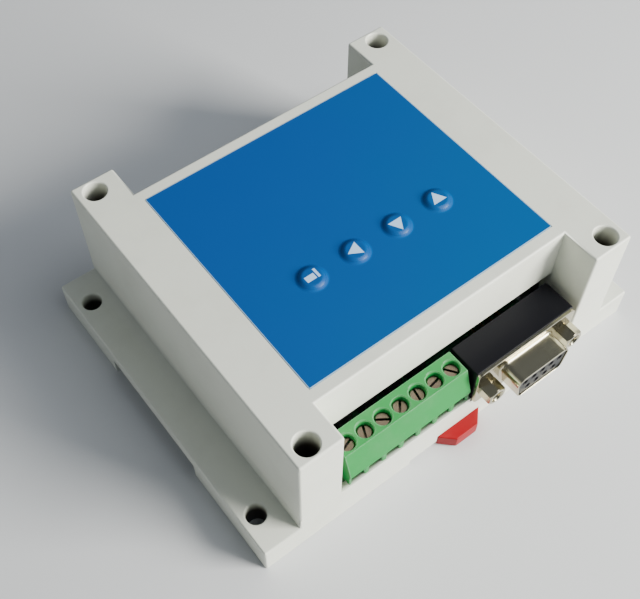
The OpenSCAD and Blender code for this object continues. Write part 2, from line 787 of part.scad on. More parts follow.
// Split posts that hold the connector down on the board
module dsub_board_locks() {
    color(tin) for (x = jack_x) translate([x, dsub_back - 2, 0]) difference() {
        union() {
            span([-1.5, -1, board_top - eps], [1.5, 1, board_top + 2.9]);
            translate([0, 0, board_z - solder_len]) cylinder(r = 1.5, h = board_t + solder_len);
        }
        span([-0.3, -2, board_z - solder_len - 1], [0.3, 2, board_top + 0.5]);
    }
}

// ---- power and logic parts on the main board ----

heatsink_x = [-30, 12];
heatsink_y = 14;
heatsink_plate = 3;
heatsink_depth = 16;
heatsink_h = 22;
chip_w = 29;
chip_t = 4.5;
chip_h = 14;
chip_z = board_top + 4;
chip_mid = (heatsink_x[0] + heatsink_x[1]) / 2;
chip_screw_x = [chip_mid - 11, chip_mid + 11];
chip_screw_z = chip_z + chip_h - 4;

module driver_chip() {
    leads = 12;
    lead_pitch = 2;
    color(black) difference() {
        span([chip_mid - chip_w / 2, heatsink_y - chip_t, chip_z],
            [chip_mid + chip_w / 2, heatsink_y, chip_z + chip_h]);
        for (x = chip_screw_x) rod_y(x, heatsink_y - chip_t - 1, heatsink_y + 1, chip_screw_z, 1.7);
    }
    color(tin) for (i = [0:leads - 1]) {
        x = chip_mid + (i - (leads - 1) / 2) * lead_pitch;
        y = heatsink_y - chip_t / 2;
        span([x - 0.3, y - 0.2, board_top], [x + 0.3, y + 0.2, chip_z + eps]);
    }
}

module heatsink() {
    fins = 9;
    fin_t = 1.5;
    pitch = (heatsink_x[1] - heatsink_x[0] - fin_t) / (fins - 1);
    color(aluminium) difference() {
        union() {
            span([heatsink_x[0], heatsink_y, board_top],
                [heatsink_x[1], heatsink_y + heatsink_plate, board_top + heatsink_h]);
            for (i = [0:fins - 1])
                span([heatsink_x[0] + i * pitch, heatsink_y + heatsink_plate - eps, board_top],
                    [heatsink_x[0] + i * pitch + fin_t, heatsink_y + heatsink_depth, board_top + heatsink_h]);
        }
        for (x = chip_screw_x)
            rod_y(x, heatsink_y - 1, heatsink_y + heatsink_depth + 1, chip_screw_z, 1.5 + thread_gap);
    }
}

module heatsink_screws() {
    color(steel) for (x = chip_screw_x)
        translate([x, heatsink_y - chip_t, chip_screw_z]) rotate([90, 0, 0])
            pan_screw(2.7, 1.9, 1.5, chip_t + heatsink_plate + 1);
}

module microcontroller() {
    body = 10;
    leads = 12;
    pitch = 0.8;
    color(black) translate([-14, -16, board_top]) {
        leaded_chip([body, body, 1.5], leads, pitch, 1, 0.35);
        rotate([0, 0, 90]) leaded_chip([body, body, 1.5], leads, pitch, 1, 0.35);
    }
}

module transceiver_chip() {
    color(black) translate([dsub_x, -22, board_top]) leaded_chip([10.3, 7.5, 2.4], 8, 1.27, 1.4, 0.4);
}

module optocouplers() {
    color(black) for (i = [0:3])
        translate([-25 + 7.5 * i, -28.5, board_top]) leaded_chip([4.6, 6.4, 3.4], 2, 2.54, 1, 0.6);
}

module voltage_regulator() {
    color(black) translate([28, -8, board_top]) {
        span([-5, -4.5, 1.3], [5, 4.5, 4.5]);
        for (i = [-2:2]) span([i * 1.7 - 0.4, -8.5, 0], [i * 1.7 + 0.4, -4.4, 0.5]);
        for (i = [-2:2]) span([i * 1.7 - 0.4, -5.4, 0], [i * 1.7 + 0.4, -4.4, 2]);
        span([-5, -4.5, 0], [5, 6, 1.3 + eps]);
    }
}

module power_inductor() {
    side = 12;
    height = 7;
    color(black) translate([27, 7, board_top]) difference() {
        span([-side / 2, -side / 2, 0], [side / 2, side / 2, height]);
        translate([0, 0, height - 0.6]) cylinder(r = side * 0.35, h = 2);
    }
}

module bulk_capacitors() {
    can_r = 5;
    can_h = 20;
    color(label_blue) for (x = [18.5, 29.5]) translate([x, 21, board_top]) difference() {
        cylinder(r = can_r, h = can_h);
        difference() {
            translate([0, 0, 2]) cylinder(r = can_r + 1, h = 1);
            translate([0, 0, 1.5]) cylinder(r = can_r - 0.3, h = 2);
        }
        translate([0, 0, can_h - 0.3]) cylinder(r = can_r - 0.9, h = 1);
    }
}

module crystal() {
    color(tin) translate([2, -16, board_top]) {
        span([-5.6, -2.3, 0], [5.6, 2.3, 0.6]);
        span([-3, -1.8, 0.6 - eps], [3, 1.8, 3.6]);
        for (x = [-3, 3]) translate([x, 0, 0.6 - eps]) cylinder(r = 1.8, h = 3);
    }
}

module sense_resistors() {
    color(black) for (y = [4, 9]) translate([-31.5, y, board_top]) span([-3.2, -1.6, 0], [3.2, 1.6, 0.8]);
}

module input_fuse() {
    color(black) translate([-29, -15, board_top]) {
        cylinder(r = 4.2, h = 7.6);
        translate([0, 0, 7.6 - eps]) cylinder(r = 3.6, h = 0.4);
    }
}

module chip_parts() {
    color(copper) {
        for (i = [0:5]) translate([-22 + 5 * i, -8, board_top]) span([-1, -0.6, 0], [1, 0.6, 0.6]);
        for (i = [0:3]) translate([10 + 4 * i, -15, board_top]) span([-1, -0.6, 0], [1, 0.6, 0.8]);
        for (i = [0:4]) translate([-16 + 6 * i, 4, board_top]) span([-1.6, -0.8, 0], [1.6, 0.8, 0.7]);
    }
}

// ---- rail clip ----

module rail_clip() {
    half = clip_w / 2;
    nose_y = channel_front + clip_nose;
    stop_play = stop_r + slide_gap;
    leaf_w = 1.1;
    leaf_gap = 0.9;
    nose_top = min(clip_z + clip_t, under_flange_z);
    color(clip_red) difference() {
        union() {
            translate([0, 0, clip_z]) linear_extrude(clip_t)
                polygon([[-clip_tip_w / 2, -half_y - clip_out], [clip_tip_w / 2, -half_y - clip_out],
                    [half, -half_y - clip_out + (half - clip_tip_w / 2)], [half, channel_front - 1],
                    [-half, channel_front - 1], [-half, -half_y - clip_out + (half - clip_tip_w / 2)]]);
            // the nose, bevelled below so that the rail pushes it back
            along_x(-half, half) polygon([[channel_front - 1 - eps, clip_z], [nose_y - 2, clip_z],
                [nose_y, clip_z + 2], [nose_y, nose_top], [channel_front - 1 - eps, nose_top]]);
            // the guide flanges
            span([-half - clip_flange_w, clip_flange_front, clip_flange_z],
                [half + clip_flange_w, channel_front - 1, clip_z + clip_t]);
        }
        // the slot that runs over the stop post
        span([-stop_play, stop_y - stop_play, -1], [stop_play, stop_y + stop_play + clip_travel, rail_depth]);
        // cuts that leave a springy leaf along each flange
        both_sides() span([half + clip_flange_w - leaf_w - leaf_gap, clip_flange_front + 3, 0],
            [half + clip_flange_w - leaf_w, channel_front - 4, rail_depth]);
    }
}

base();
cover();
cover_screws();
label_overlay();
key_cap(0);  // key_enter
key_cap(1);  // key_left
key_cap(2);  // key_down
key_cap(3);  // key_up
plunger(0);  // plunger_enter
plunger(1);  // plunger_left
plunger(2);  // plunger_down
plunger(3);  // plunger_up
key_switches();
keypad_board();
keypad_screws();
header_pins_strip();
header_socket();
main_board();
board_screws();
terminal_housing();
terminal_contacts();
terminal_screw(0);  // terminal_screw_1
terminal_screw(1);  // terminal_screw_2
terminal_screw(2);  // terminal_screw_3
terminal_screw(3);  // terminal_screw_4
terminal_screw(4);  // terminal_screw_5
terminal_screw(5);  // terminal_screw_6
terminal_screw(6);  // terminal_screw_7
wire_clamp(0);  // wire_clamp_1
wire_clamp(1);  // wire_clamp_2
wire_clamp(2);  // wire_clamp_3
wire_clamp(3);  // wire_clamp_4
wire_clamp(4);  // wire_clamp_5
wire_clamp(5);  // wire_clamp_6
wire_clamp(6);  // wire_clamp_7
dsub_shell();
dsub_insert();
dsub_body();
dsub_contacts();
dsub_jackscrews();
dsub_board_locks();
driver_chip();
heatsink();
heatsink_screws();
microcontroller();
transceiver_chip();
optocouplers();
voltage_regulator();
power_inductor();
bulk_capacitors();
crystal();
sense_resistors();
input_fuse();
chip_parts();
rail_clip();
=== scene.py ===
# %% [markdown]
# # A stepper driver module, from its frame to its finish
# The module is a motor driver in a plastic case that screws to a panel or clips on a rail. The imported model
# gives every part its true size and place. This script keeps that frame, rebuilds the parts that show with
# softened edges and fine detail, and gives each part a finish made of nodes.

# %% Load the frame
import json
import math
import bmesh
import bpy
from mathutils import Matrix, Vector


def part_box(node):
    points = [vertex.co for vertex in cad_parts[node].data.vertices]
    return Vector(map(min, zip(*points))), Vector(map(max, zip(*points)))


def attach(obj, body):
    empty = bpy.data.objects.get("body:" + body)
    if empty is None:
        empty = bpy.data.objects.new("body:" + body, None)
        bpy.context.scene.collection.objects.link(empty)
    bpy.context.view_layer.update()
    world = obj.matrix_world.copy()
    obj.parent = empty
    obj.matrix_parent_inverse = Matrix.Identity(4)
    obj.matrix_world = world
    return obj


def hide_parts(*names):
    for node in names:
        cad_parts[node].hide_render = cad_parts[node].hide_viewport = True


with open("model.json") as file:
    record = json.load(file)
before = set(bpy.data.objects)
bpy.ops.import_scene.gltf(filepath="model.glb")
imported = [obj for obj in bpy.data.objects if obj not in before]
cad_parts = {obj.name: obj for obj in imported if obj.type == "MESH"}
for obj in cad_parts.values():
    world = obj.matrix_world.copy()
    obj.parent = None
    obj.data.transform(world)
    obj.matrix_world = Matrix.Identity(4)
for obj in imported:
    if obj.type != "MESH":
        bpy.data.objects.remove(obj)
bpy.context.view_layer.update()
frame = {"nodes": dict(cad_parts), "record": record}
mm = 0.001


def box_mm(node):
    """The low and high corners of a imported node's box, in millimetres."""
    return [corner_point / mm for corner_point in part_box(node)]


# %% [markdown]
# ## Camera
# A camera is a place, a direction and a lens. It is easiest to think of it as standing at a distance from the
# point it looks at, turned round the object by an azimuth and raised by an elevation, with a slight roll.

# %% Camera
aim = Vector((-11.4, -4.8, 20)) * mm
camera_distance = 239.5 * mm
azimuth = math.radians(-38.04)
elevation = math.radians(55.95)
roll = math.radians(0.5)

back = Vector((math.sin(azimuth) * math.cos(elevation), -math.cos(azimuth) * math.cos(elevation),
               math.sin(elevation)))
level = Vector((math.cos(azimuth), math.sin(azimuth), 0))
right = level * math.cos(roll) + back.cross(level) * math.sin(roll)
up = back.cross(right)

lens = bpy.data.cameras.new("camera")
lens.sensor_width = 36
lens.lens = 55.47
lens.clip_start = 10 * mm
camera = bpy.data.objects.new("camera", lens)
turn = Matrix((right, up, back)).transposed().to_4x4()
camera.matrix_world = Matrix.Translation(aim + back * camera_distance) @ turn
bpy.context.scene.collection.objects.link(camera)
bpy.context.scene.camera = camera
print("camera at", [round(value / mm, 1) for value in camera.location])

# %% [markdown]
# ## Nodes from code
# A material is a small graph. A few helpers keep the graphs readable: one adds a node and wires or sets its
# inputs, some do arithmetic or mix colours, and one starts a node group, which is an effect that many
# materials share.

# %% Helpers for node trees
def add(tree, kind, inputs=None, **settings):
    made = tree.nodes.new(kind)
    for key, value in settings.items():
        setattr(made, key, value)
    for key, value in (inputs or {}).items():
        if isinstance(value, bpy.types.NodeSocket):
            tree.links.new(value, made.inputs[key])
        else:
            made.inputs[key].default_value = value
    return made


def calc(tree, operation, *values, clamp=False):
    inputs = dict(enumerate(values))
    return add(tree, "ShaderNodeMath", inputs, operation=operation, use_clamp=clamp).outputs[0]


def vector_calc(tree, operation, *values, output=0):
    inputs = dict(enumerate(values))
    return add(tree, "ShaderNodeVectorMath", inputs, operation=operation).outputs[output]


def mix_colours(tree, share, first, second):
    made = add(tree, "ShaderNodeMix", {0: share, 6: first, 7: second}, data_type="RGBA")
    return made.outputs[2]


def remap(tree, value, low, high):
    """Runs smoothly from 0 to 1 as value goes from low to high."""
    inputs = {0: value, 1: low, 2: high}
    return add(tree, "ShaderNodeMapRange", inputs, interpolation_type="SMOOTHSTEP").outputs[0]


def start_group(name, inputs, outputs):
    tree = bpy.data.node_groups.new(name, "ShaderNodeTree")
    for label, value in inputs.items():
        kind = "NodeSocketColor" if isinstance(value, tuple) else "NodeSocketFloat"
        if label in ("Vector", "Stretch"):
            kind = "NodeSocketVector"
        tree.interface.new_socket(label, in_out="INPUT", socket_type=kind).default_value = value
    for label, kind in outputs.items():
        tree.interface.new_socket(label, in_out="OUTPUT", socket_type=kind)
    return tree, tree.nodes.new("NodeGroupInput").outputs, tree.nodes.new("NodeGroupOutput")


def place_mm(tree):
    """The point on the object, in millimetres."""
    place = add(tree, "ShaderNodeTexCoord").outputs["Object"]
    return add(tree, "ShaderNodeVectorMath", {0: place, "Scale": 1 / mm}, operation="SCALE").outputs[0]


# %% [markdown]
# ## Shared effects
# Moulded plastic has a fine grain and never quite an even shine. Drawn or plated metal has streaks.
# Everything that is touched has faint stains, and its rounded edges are painted a little lighter as a painted
# highlight. Each of these is a group whose outputs are colours, masks, values or normals, so that every finish
# can use it with its own strength.

# %% Grain, streaks, stains and painted edge highlights
def grain_group():
    tree, given, result = start_group(
        "moulded_grain", {"Scale": 3.0, "Depth": 0.2, "Roughness": 0.5, "Spread": 0.1},
        {"Roughness": "NodeSocketFloat", "Normal": "NodeSocketVector"})
    place = place_mm(tree)
    fine = add(tree, "ShaderNodeTexNoise", {"Vector": place, "Scale": given["Scale"], "Detail": 3.0})
    wide = add(tree, "ShaderNodeTexNoise", {"Vector": place, "Scale": 0.09, "Detail": 4.0})
    uneven = calc(tree, "MULTIPLY", calc(tree, "SUBTRACT", wide.outputs[0], 0.5), given["Spread"])
    tree.links.new(calc(tree, "ADD", uneven, given["Roughness"], clamp=True), result.inputs["Roughness"])
    bump = add(tree, "ShaderNodeBump",
               {"Strength": given["Depth"], "Distance": 0.05 * mm, "Height": fine.outputs[0]})
    tree.links.new(bump.outputs[0], result.inputs["Normal"])
    return tree


def streak_group():
    tree, given, result = start_group(
        "metal_streaks", {"Stretch": (8.0, 8.0, 0.6), "Depth": 0.2, "Roughness": 0.3, "Spread": 0.15},
        {"Roughness": "NodeSocketFloat", "Normal": "NodeSocketVector"})
    stretched = vector_calc(tree, "MULTIPLY", place_mm(tree), given["Stretch"])
    streaks = add(tree, "ShaderNodeTexNoise", {"Vector": stretched, "Scale": 1.0, "Detail": 5.0})
    uneven = calc(tree, "MULTIPLY", calc(tree, "SUBTRACT", streaks.outputs[0], 0.5), given["Spread"])
    tree.links.new(calc(tree, "ADD", uneven, given["Roughness"], clamp=True), result.inputs["Roughness"])
    bump = add(tree, "ShaderNodeBump",
               {"Strength": given["Depth"], "Distance": 0.02 * mm, "Height": streaks.outputs[0]})
    tree.links.new(bump.outputs[0], result.inputs["Normal"])
    return tree


def stains_and_highlight_group():
    tree, given, result = start_group(
        "stains_and_edge_highlight", {"Colour": (0.8, 0.8, 0.8, 1), "Stain": (0.4, 0.38, 0.3, 1), "Stains": 0.1, "Edge Highlight": 0.2},
        {"Colour": "NodeSocketColor"})
    place = place_mm(tree)
    cloud = add(tree, "ShaderNodeTexNoise",
                {"Vector": place, "Scale": 0.06, "Detail": 6.0, "Roughness": 0.65})
    specks = add(tree, "ShaderNodeTexNoise", {"Vector": place, "Scale": 1.3, "Detail": 2.0})
    stain = calc(tree, "MULTIPLY", remap(tree, cloud.outputs[0], 0.42, 0.7), given["Stains"])
    speck = calc(tree, "MULTIPLY", remap(tree, specks.outputs[0], 0.72, 0.8), given["Stains"])
    dirty = mix_colours(tree, calc(tree, "ADD", stain, speck, clamp=True), given["Colour"], given["Stain"])
    # Painted highlight: rounded edges are painted paler, standing in for light caught on them.
    rounded = add(tree, "ShaderNodeBevel", {"Radius": 0.35 * mm}, samples=4).outputs[0]
    true_normal = add(tree, "ShaderNodeNewGeometry").outputs["Normal"]
    facing = vector_calc(tree, "DOT_PRODUCT", rounded, true_normal, output="Value")
    edge = remap(tree, calc(tree, "SUBTRACT", 1.0, facing), 0.01, 0.2)
    pale = mix_colours(tree, 0.5, given["Colour"], (1, 1, 1, 1))
    highlighted = mix_colours(tree, calc(tree, "MULTIPLY", edge, given["Edge Highlight"]), dirty, pale)
    tree.links.new(highlighted, result.inputs["Colour"])
    return tree


GRAIN = grain_group()
STREAKS = streak_group()
STAINS_AND_HIGHLIGHT = stains_and_highlight_group()
print("shared effects:", [group.name for group in bpy.data.node_groups])

# %% [markdown]
# ## Plastics and metals
# Almost every part is a moulded plastic or a metal, so two functions make most of the finishes. A plastic
# takes its grain and its stains from the groups. A metal takes its streaks. Numbers that are the same all
# over the surface sit on the shader itself.

# %% Two families of finish
finishes = {}


def place_group(tree, group, inputs):
    return add(tree, "ShaderNodeGroup", inputs, node_tree=group)


def start_finish(name):
    finish = bpy.data.materials.new(name)
    finish.use_nodes = True
    finishes[name] = finish
    return finish.node_tree, finish.node_tree.nodes["Principled BSDF"]


def dress(tree, shader, body, stain, stains, edge_highlight, texture, surface_inputs):
    """Wires the stained colour with its painted edge highlight, and one surface texture, to the shader."""
    shown = place_group(tree, STAINS_AND_HIGHLIGHT, {
        "Colour": body, "Stain": (*stain, 1), "Stains": stains, "Edge Highlight": edge_highlight})
    surface = place_group(tree, texture, surface_inputs)
    tree.links.new(shown.outputs["Colour"], shader.inputs["Base Color"])
    tree.links.new(surface.outputs["Roughness"], shader.inputs["Roughness"])
    tree.links.new(surface.outputs["Normal"], shader.inputs["Normal"])


def plastic(name, colour, roughness=0.45, grain=3.0, depth=0.2, spread=0.12, stains=0.1, edge_highlight=0.2,
            stain=(0.35, 0.33, 0.26), specular=0.5, coat=0.0):
    tree, shader = start_finish(name)
    body = colour(tree) if callable(colour) else (*colour, 1)
    dress(tree, shader, body, stain, stains, edge_highlight, GRAIN,
          {"Scale": grain, "Depth": depth, "Roughness": roughness, "Spread": spread})
    shader.inputs["Specular IOR Level"].default_value = specular
    shader.inputs["Coat Weight"].default_value = coat
    return finishes[name]


def metal(name, colour, roughness=0.3, stretch=(8.0, 8.0, 0.6), depth=0.2, spread=0.15, stains=0.15,
          edge_highlight=0.3, stain=(0.2, 0.16, 0.1)):
    tree, shader = start_finish(name)
    dress(tree, shader, (*colour, 1), stain, stains, edge_highlight, STREAKS,
          {"Stretch": stretch, "Depth": depth, "Roughness": roughness, "Spread": spread})
    shader.inputs["Metallic"].default_value = 1.0
    return finishes[name]


# %% The screw wells and the ear holes, which the painted shade and the mesh both need
cover_low, cover_high = box_mm("cover")
base_high = box_mm("base")[1]
half_x, half_y, top_z = cover_high
ear_top = 9
well_spot = (half_x - 4.7, half_y - 3.8)
ear_spot = (base_high.x - 4, half_y - 9)
well_radius, ear_hole_radius = 2.85, 2.5
well_dark_depth, ear_dark_depth = 7, 4


def painted_hole_shade(tree, centre, radius, top, depth):
    """A painted-shade mask that grows down four holes, which mirror one another in X and Y."""
    place = place_mm(tree)
    mirrored = vector_calc(tree, "ABSOLUTE", place)
    offset = vector_calc(tree, "SUBTRACT", mirrored, (*centre, 0))
    level = vector_calc(tree, "MULTIPLY", offset, (1, 1, 0))
    away = vector_calc(tree, "LENGTH", level, output="Value")
    height = add(tree, "ShaderNodeSeparateXYZ", {0: place}).outputs[2]
    inside = remap(tree, away, radius + 0.2, radius + 0.1)
    return calc(tree, "MULTIPLY", inside, remap(tree, height, top - 0.5, top - depth))


def ivory_colour(tree):
    """Ivory plastic, with painted shade down the deep screw wells and the ear holes."""
    wells = painted_hole_shade(tree, well_spot, well_radius, top_z, well_dark_depth)
    ears = painted_hole_shade(tree, ear_spot, ear_hole_radius, ear_top, ear_dark_depth)
    hole_shade_mask = calc(tree, "MAXIMUM", wells, ears)
    # Painted shade: the ivory turns near black down inside the wells and the ear holes.
    return mix_colours(tree, hole_shade_mask, (0.80, 0.82, 0.72, 1), (0.05, 0.04, 0.032, 1))


# %% The finishes
plastic("ivory_case", ivory_colour, roughness=0.42, grain=2.6, depth=0.16, stains=0.1, edge_highlight=0.25)
plastic("black_moulding", (0.006, 0.006, 0.008), roughness=0.34, grain=4.0, depth=0.1, stains=0.0, edge_highlight=0.0,
        specular=0.12)
plastic("chip_epoxy", (0.02, 0.02, 0.022), roughness=0.55, grain=6.0, depth=0.3, stains=0.1, edge_highlight=0.06)
plastic("ferrite", (0.03, 0.03, 0.032), roughness=0.7, grain=5.0, depth=0.5, stains=0.1)
plastic("signal_red", (0.30, 0.0005, 0.006), roughness=0.42, grain=3.0, depth=0.12, stains=0.06, edge_highlight=0.08,
        specular=0.2)
plastic("ceramic", (0.62, 0.46, 0.28), roughness=0.5, grain=6.0, depth=0.3)
plastic("capacitor_sleeve", (0.02, 0.045, 0.16), roughness=0.25, grain=2.0, depth=0.06, coat=0.3)
plastic("terminal_green", (0.014, 0.24, 0.05), roughness=0.45, grain=3.4, depth=0.18, stains=0.1, edge_highlight=0.5,
        specular=0.25)
metal("zinc_steel", (0.62, 0.63, 0.64), roughness=0.32)
metal("dull_screw", (0.22, 0.165, 0.125), roughness=0.42, stains=0.35, stretch=(6.0, 6.0, 6.0))
metal("tinned_copper", (0.75, 0.73, 0.68), roughness=0.35)
metal("plated_shell", (0.52, 0.48, 0.34), roughness=0.2, stretch=(0.8, 6.0, 9.0), depth=0.1)
metal("gold_brass", (0.86, 0.62, 0.26), roughness=0.22)
metal("nickel_brass", (0.66, 0.60, 0.46), roughness=0.35)
metal("switch_steel", (0.66, 0.66, 0.66), roughness=0.3)
metal("brushed_aluminium", (0.55, 0.56, 0.58), roughness=0.4, stretch=(12.0, 12.0, 0.4))
print("finishes:", len(finishes))

# %% [markdown]
# ## The printed panel
# The key panel is a blue film, printed on its back and a little deeper in colour at one corner. Each key has
# a pale symbol. A symbol is a mask made from straight edges: a point is inside a triangle when it is on the
# inner side of its three edges, so the smallest of three distances decides.

# %% Printed symbols
def symbol_group():
    tree, given, result = start_group(
        "arrow_symbol", {"Vector": (0.0, 0.0, 0.0), "Turn": 0.0, "Size": 1.2}, {"Mask": "NodeSocketFloat"})
    turned = add(tree, "ShaderNodeVectorRotate", {"Vector": given["Vector"], "Angle": given["Turn"]},
                 rotation_type="Z_AXIS").outputs[0]
    inside = None
    for side in range(3):
        angle = math.radians(90 + 120 * side)
        outward = (-math.sin(angle), -math.cos(angle), 0)
        away = vector_calc(tree, "DOT_PRODUCT", turned, outward, output="Value")
        room = calc(tree, "SUBTRACT", given["Size"], away)
        inside = room if inside is None else calc(tree, "MINIMUM", inside, room)
    tree.links.new(remap(tree, inside, -0.05, 0.05), result.inputs["Mask"])
    return tree


def bar_mask(tree, place, centre, half):
    """A soft-edged rectangle round centre, in the key's own plane."""
    from_centre = vector_calc(tree, "SUBTRACT", place, (*centre, 0))
    parts = add(tree, "ShaderNodeSeparateXYZ", {0: from_centre}).outputs
    room = [calc(tree, "SUBTRACT", half[axis], calc(tree, "ABSOLUTE", parts[axis])) for axis in (0, 1)]
    return remap(tree, calc(tree, "MINIMUM", *room), -0.05, 0.05)


ARROW = symbol_group()


def film_colour(tree):
    """Blue film that deepens towards one corner and turns a little greener towards the other."""
    slant = vector_calc(tree, "DOT_PRODUCT", place_mm(tree), (0.010, -0.012, 0), output="Value")
    cloud = add(tree, "ShaderNodeTexNoise", {"Vector": place_mm(tree), "Scale": 0.035, "Detail": 2.0})
    drift = calc(tree, "ADD", slant, calc(tree, "MULTIPLY", cloud.outputs[0], 0.5))
    return mix_colours(tree, remap(tree, drift, -0.3, 0.9), (0.0005, 0.07, 0.29, 1), (0.001, 0.085, 0.27, 1))


def key_colour(centre, turn):
    """The film's colour with a key's symbol printed on it."""
    def colour(tree):
        place = vector_calc(tree, "SUBTRACT", place_mm(tree), (*centre, 0))
        if turn is None:
            slab = bar_mask(tree, place, (-0.5, -0.1), (1.25, 0.8))
            post = bar_mask(tree, place, (1.45, 0.3), (0.32, 1.3))
            mask = calc(tree, "MAXIMUM", slab, post)
        else:
            inputs = {"Vector": place, "Turn": math.radians(turn), "Size": 1.1}
            mask = place_group(tree, ARROW, inputs).outputs[0]
        return mix_colours(tree, mask, film_colour(tree), (0.50, 0.72, 1.0, 1))
    return colour


key_turns = {"enter": None, "left": 180, "down": 90, "up": -90}
for key, turn in key_turns.items():
    low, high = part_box("key_" + key)
    centre = ((low + high) / 2 / mm)[:2]
    plastic("key_film_" + key, key_colour(centre, turn), roughness=0.3, grain=5.0, depth=0.06, stains=0.0,
            edge_highlight=0.0, specular=0.5)
film_low, film_high = box_mm("label_overlay")


def film_edge_highlight_colour(tree):
    """The film's colour with a pale border painted round the sheet's edge, a painted highlight."""
    half = (film_high - film_low) / 2 - Vector((0.2, 0.2, 0))
    middle = (film_high + film_low) / 2
    inner = bar_mask(tree, place_mm(tree), middle[:2], half[:2])
    # Painted highlight: a pale band along the edge of the film.
    return mix_colours(tree, inner, (0.30, 0.48, 0.66, 1), film_colour(tree))


plastic("panel_film", film_edge_highlight_colour, roughness=0.5, grain=5.0, depth=0.1, stains=0.0, edge_highlight=0.0,
        specular=0.2)
print("panel finishes:", [name for name in finishes if "film" in name])

# %% [markdown]
# ## The circuit boards
# A bare board is green varnish over copper. The copper tracks lie a little higher, so they show as slightly
# paler lines. A brick pattern gives runs of track without drawing each one.

# %% Board finish
def board_colour(tree):
    place = place_mm(tree)
    tracks = add(tree, "ShaderNodeTexBrick", {
        "Vector": place, "Scale": 0.35, "Mortar Size": 0.06, "Mortar Smooth": 0.1, "Bias": 0.0,
        "Brick Width": 2.2, "Row Height": 0.45, "Color1": (0, 0, 0, 1), "Color2": (0, 0, 0, 1),
        "Mortar": (1, 1, 1, 1)}, offset=0.37, squash=0.7)
    return mix_colours(tree, tracks.outputs["Color"], (0.004, 0.10, 0.035, 1), (0.015, 0.20, 0.07, 1))


plastic("board_varnish", board_colour, roughness=0.3, grain=2.0, depth=0.1, stains=0.1, edge_highlight=0.1, coat=0.2)

# %% [markdown]
# ## Meshes from code
# Sharp edges give a model away, because no moulded edge is perfectly sharp. The case keeps all its holes,
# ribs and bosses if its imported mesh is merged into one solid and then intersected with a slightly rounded
# hull of the same outside size. The helpers below make such hulls, turn profiles on a lathe, and run the
# intersections.

# %% Helpers for meshes
def solid(bm, name="solid"):
    """An object, in metres, from a mesh that was drawn in millimetres."""
    bmesh.ops.scale(bm, vec=(mm, mm, mm), verts=bm.verts)
    bmesh.ops.recalc_face_normals(bm, faces=bm.faces)
    mesh = bpy.data.meshes.new(name)
    bm.to_mesh(mesh)
    bm.free()
    made = bpy.data.objects.new(name, mesh)
    bpy.context.scene.collection.objects.link(made)
    return made


def prism(outline, low, high, along="z"):
    """An outline drawn out along one axis. Its two coordinates are the other two axes, in order."""
    spots = {"x": lambda a, b, c: (c, a, b), "y": lambda a, b, c: (a, c, b), "z": lambda a, b, c: (a, b, c)}
    bm = bmesh.new()
    lower = [bm.verts.new(spots[along](a, b, low)) for a, b in outline]
    upper = [bm.verts.new(spots[along](a, b, high)) for a, b in outline]
    bm.faces.new(lower)
    bm.faces.new(upper[::-1])
    for i in range(len(outline)):
        j = (i + 1) % len(outline)
        bm.faces.new((lower[i], lower[j], upper[j], upper[i]))
    bmesh.ops.recalc_face_normals(bm, faces=bm.faces)
    return bm


def block(low, high):
    """A box between two corners."""
    outline = [(low[0], low[1]), (high[0], low[1]), (high[0], high[1]), (low[0], high[1])]
    return prism(outline, low[2], high[2])


def soften(bm, radius, wanted=lambda middle: True, segments=3):
    """Rounds the outer edges whose middle is wanted."""
    bm.normal_update()
    picked = [edge for edge in bm.edges
              if edge.is_convex and edge.calc_face_angle(0) > 0.3
              and wanted((edge.verts[0].co + edge.verts[1].co) / 2)]
    bmesh.ops.bevel(bm, geom=picked, offset=radius, segments=segments, profile=0.5, affect="EDGES")
    return bm


def lathe(profile, centre, steps=48, along="z"):
    """A profile of (radius, height) points, from axis to axis, turned round an axis through centre."""
    turned = {"z": lambda x, y, h: (x, y, h), "y": lambda x, y, h: (x, h, y)}
    bm = bmesh.new()
    rings = []
    for radius, height in profile:
        count = steps if radius > 0 else 1
        angles = [2 * math.pi * i / steps for i in range(count)]
        rings.append([bm.verts.new(Vector(centre) + Vector(turned[along](
            radius * math.cos(angle), radius * math.sin(angle), height))) for angle in angles])
    for first, second in zip(rings, rings[1:]):
        for i in range(steps):
            corners = [first[i % len(first)], first[(i + 1) % len(first)],
                       second[(i + 1) % len(second)], second[i % len(second)]]
            bm.faces.new(list(dict.fromkeys(corners)))
    bmesh.ops.recalc_face_normals(bm, faces=bm.faces)
    return bm


def packed_copy(node):
    """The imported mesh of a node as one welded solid, in an object of its own."""
    bm = bmesh.new()
    bm.from_mesh(frame["nodes"][node].data)
    bmesh.ops.remove_doubles(bm, verts=bm.verts, dist=0.001 * mm)
    bmesh.ops.scale(bm, vec=(1 / mm,) * 3, verts=bm.verts)
    return solid(bm, "copy")


def applied(made):
    """Runs the object's modifiers and keeps the result as its plain mesh."""
    evaluated = made.evaluated_get(bpy.context.evaluated_depsgraph_get())
    result = bpy.data.meshes.new_from_object(evaluated)
    made.modifiers.clear()
    made.data = result
    return made


def carve(made, operation, *tools):
    """Joins the tools to made, cuts them out of it, or keeps only what they share."""
    for tool in tools:
        step = made.modifiers.new("carve", "BOOLEAN")
        step.operation = operation
        step.solver = "MANIFOLD"
        step.object = tool
    applied(made)
    for tool in tools:
        bpy.data.objects.remove(tool)
    return made


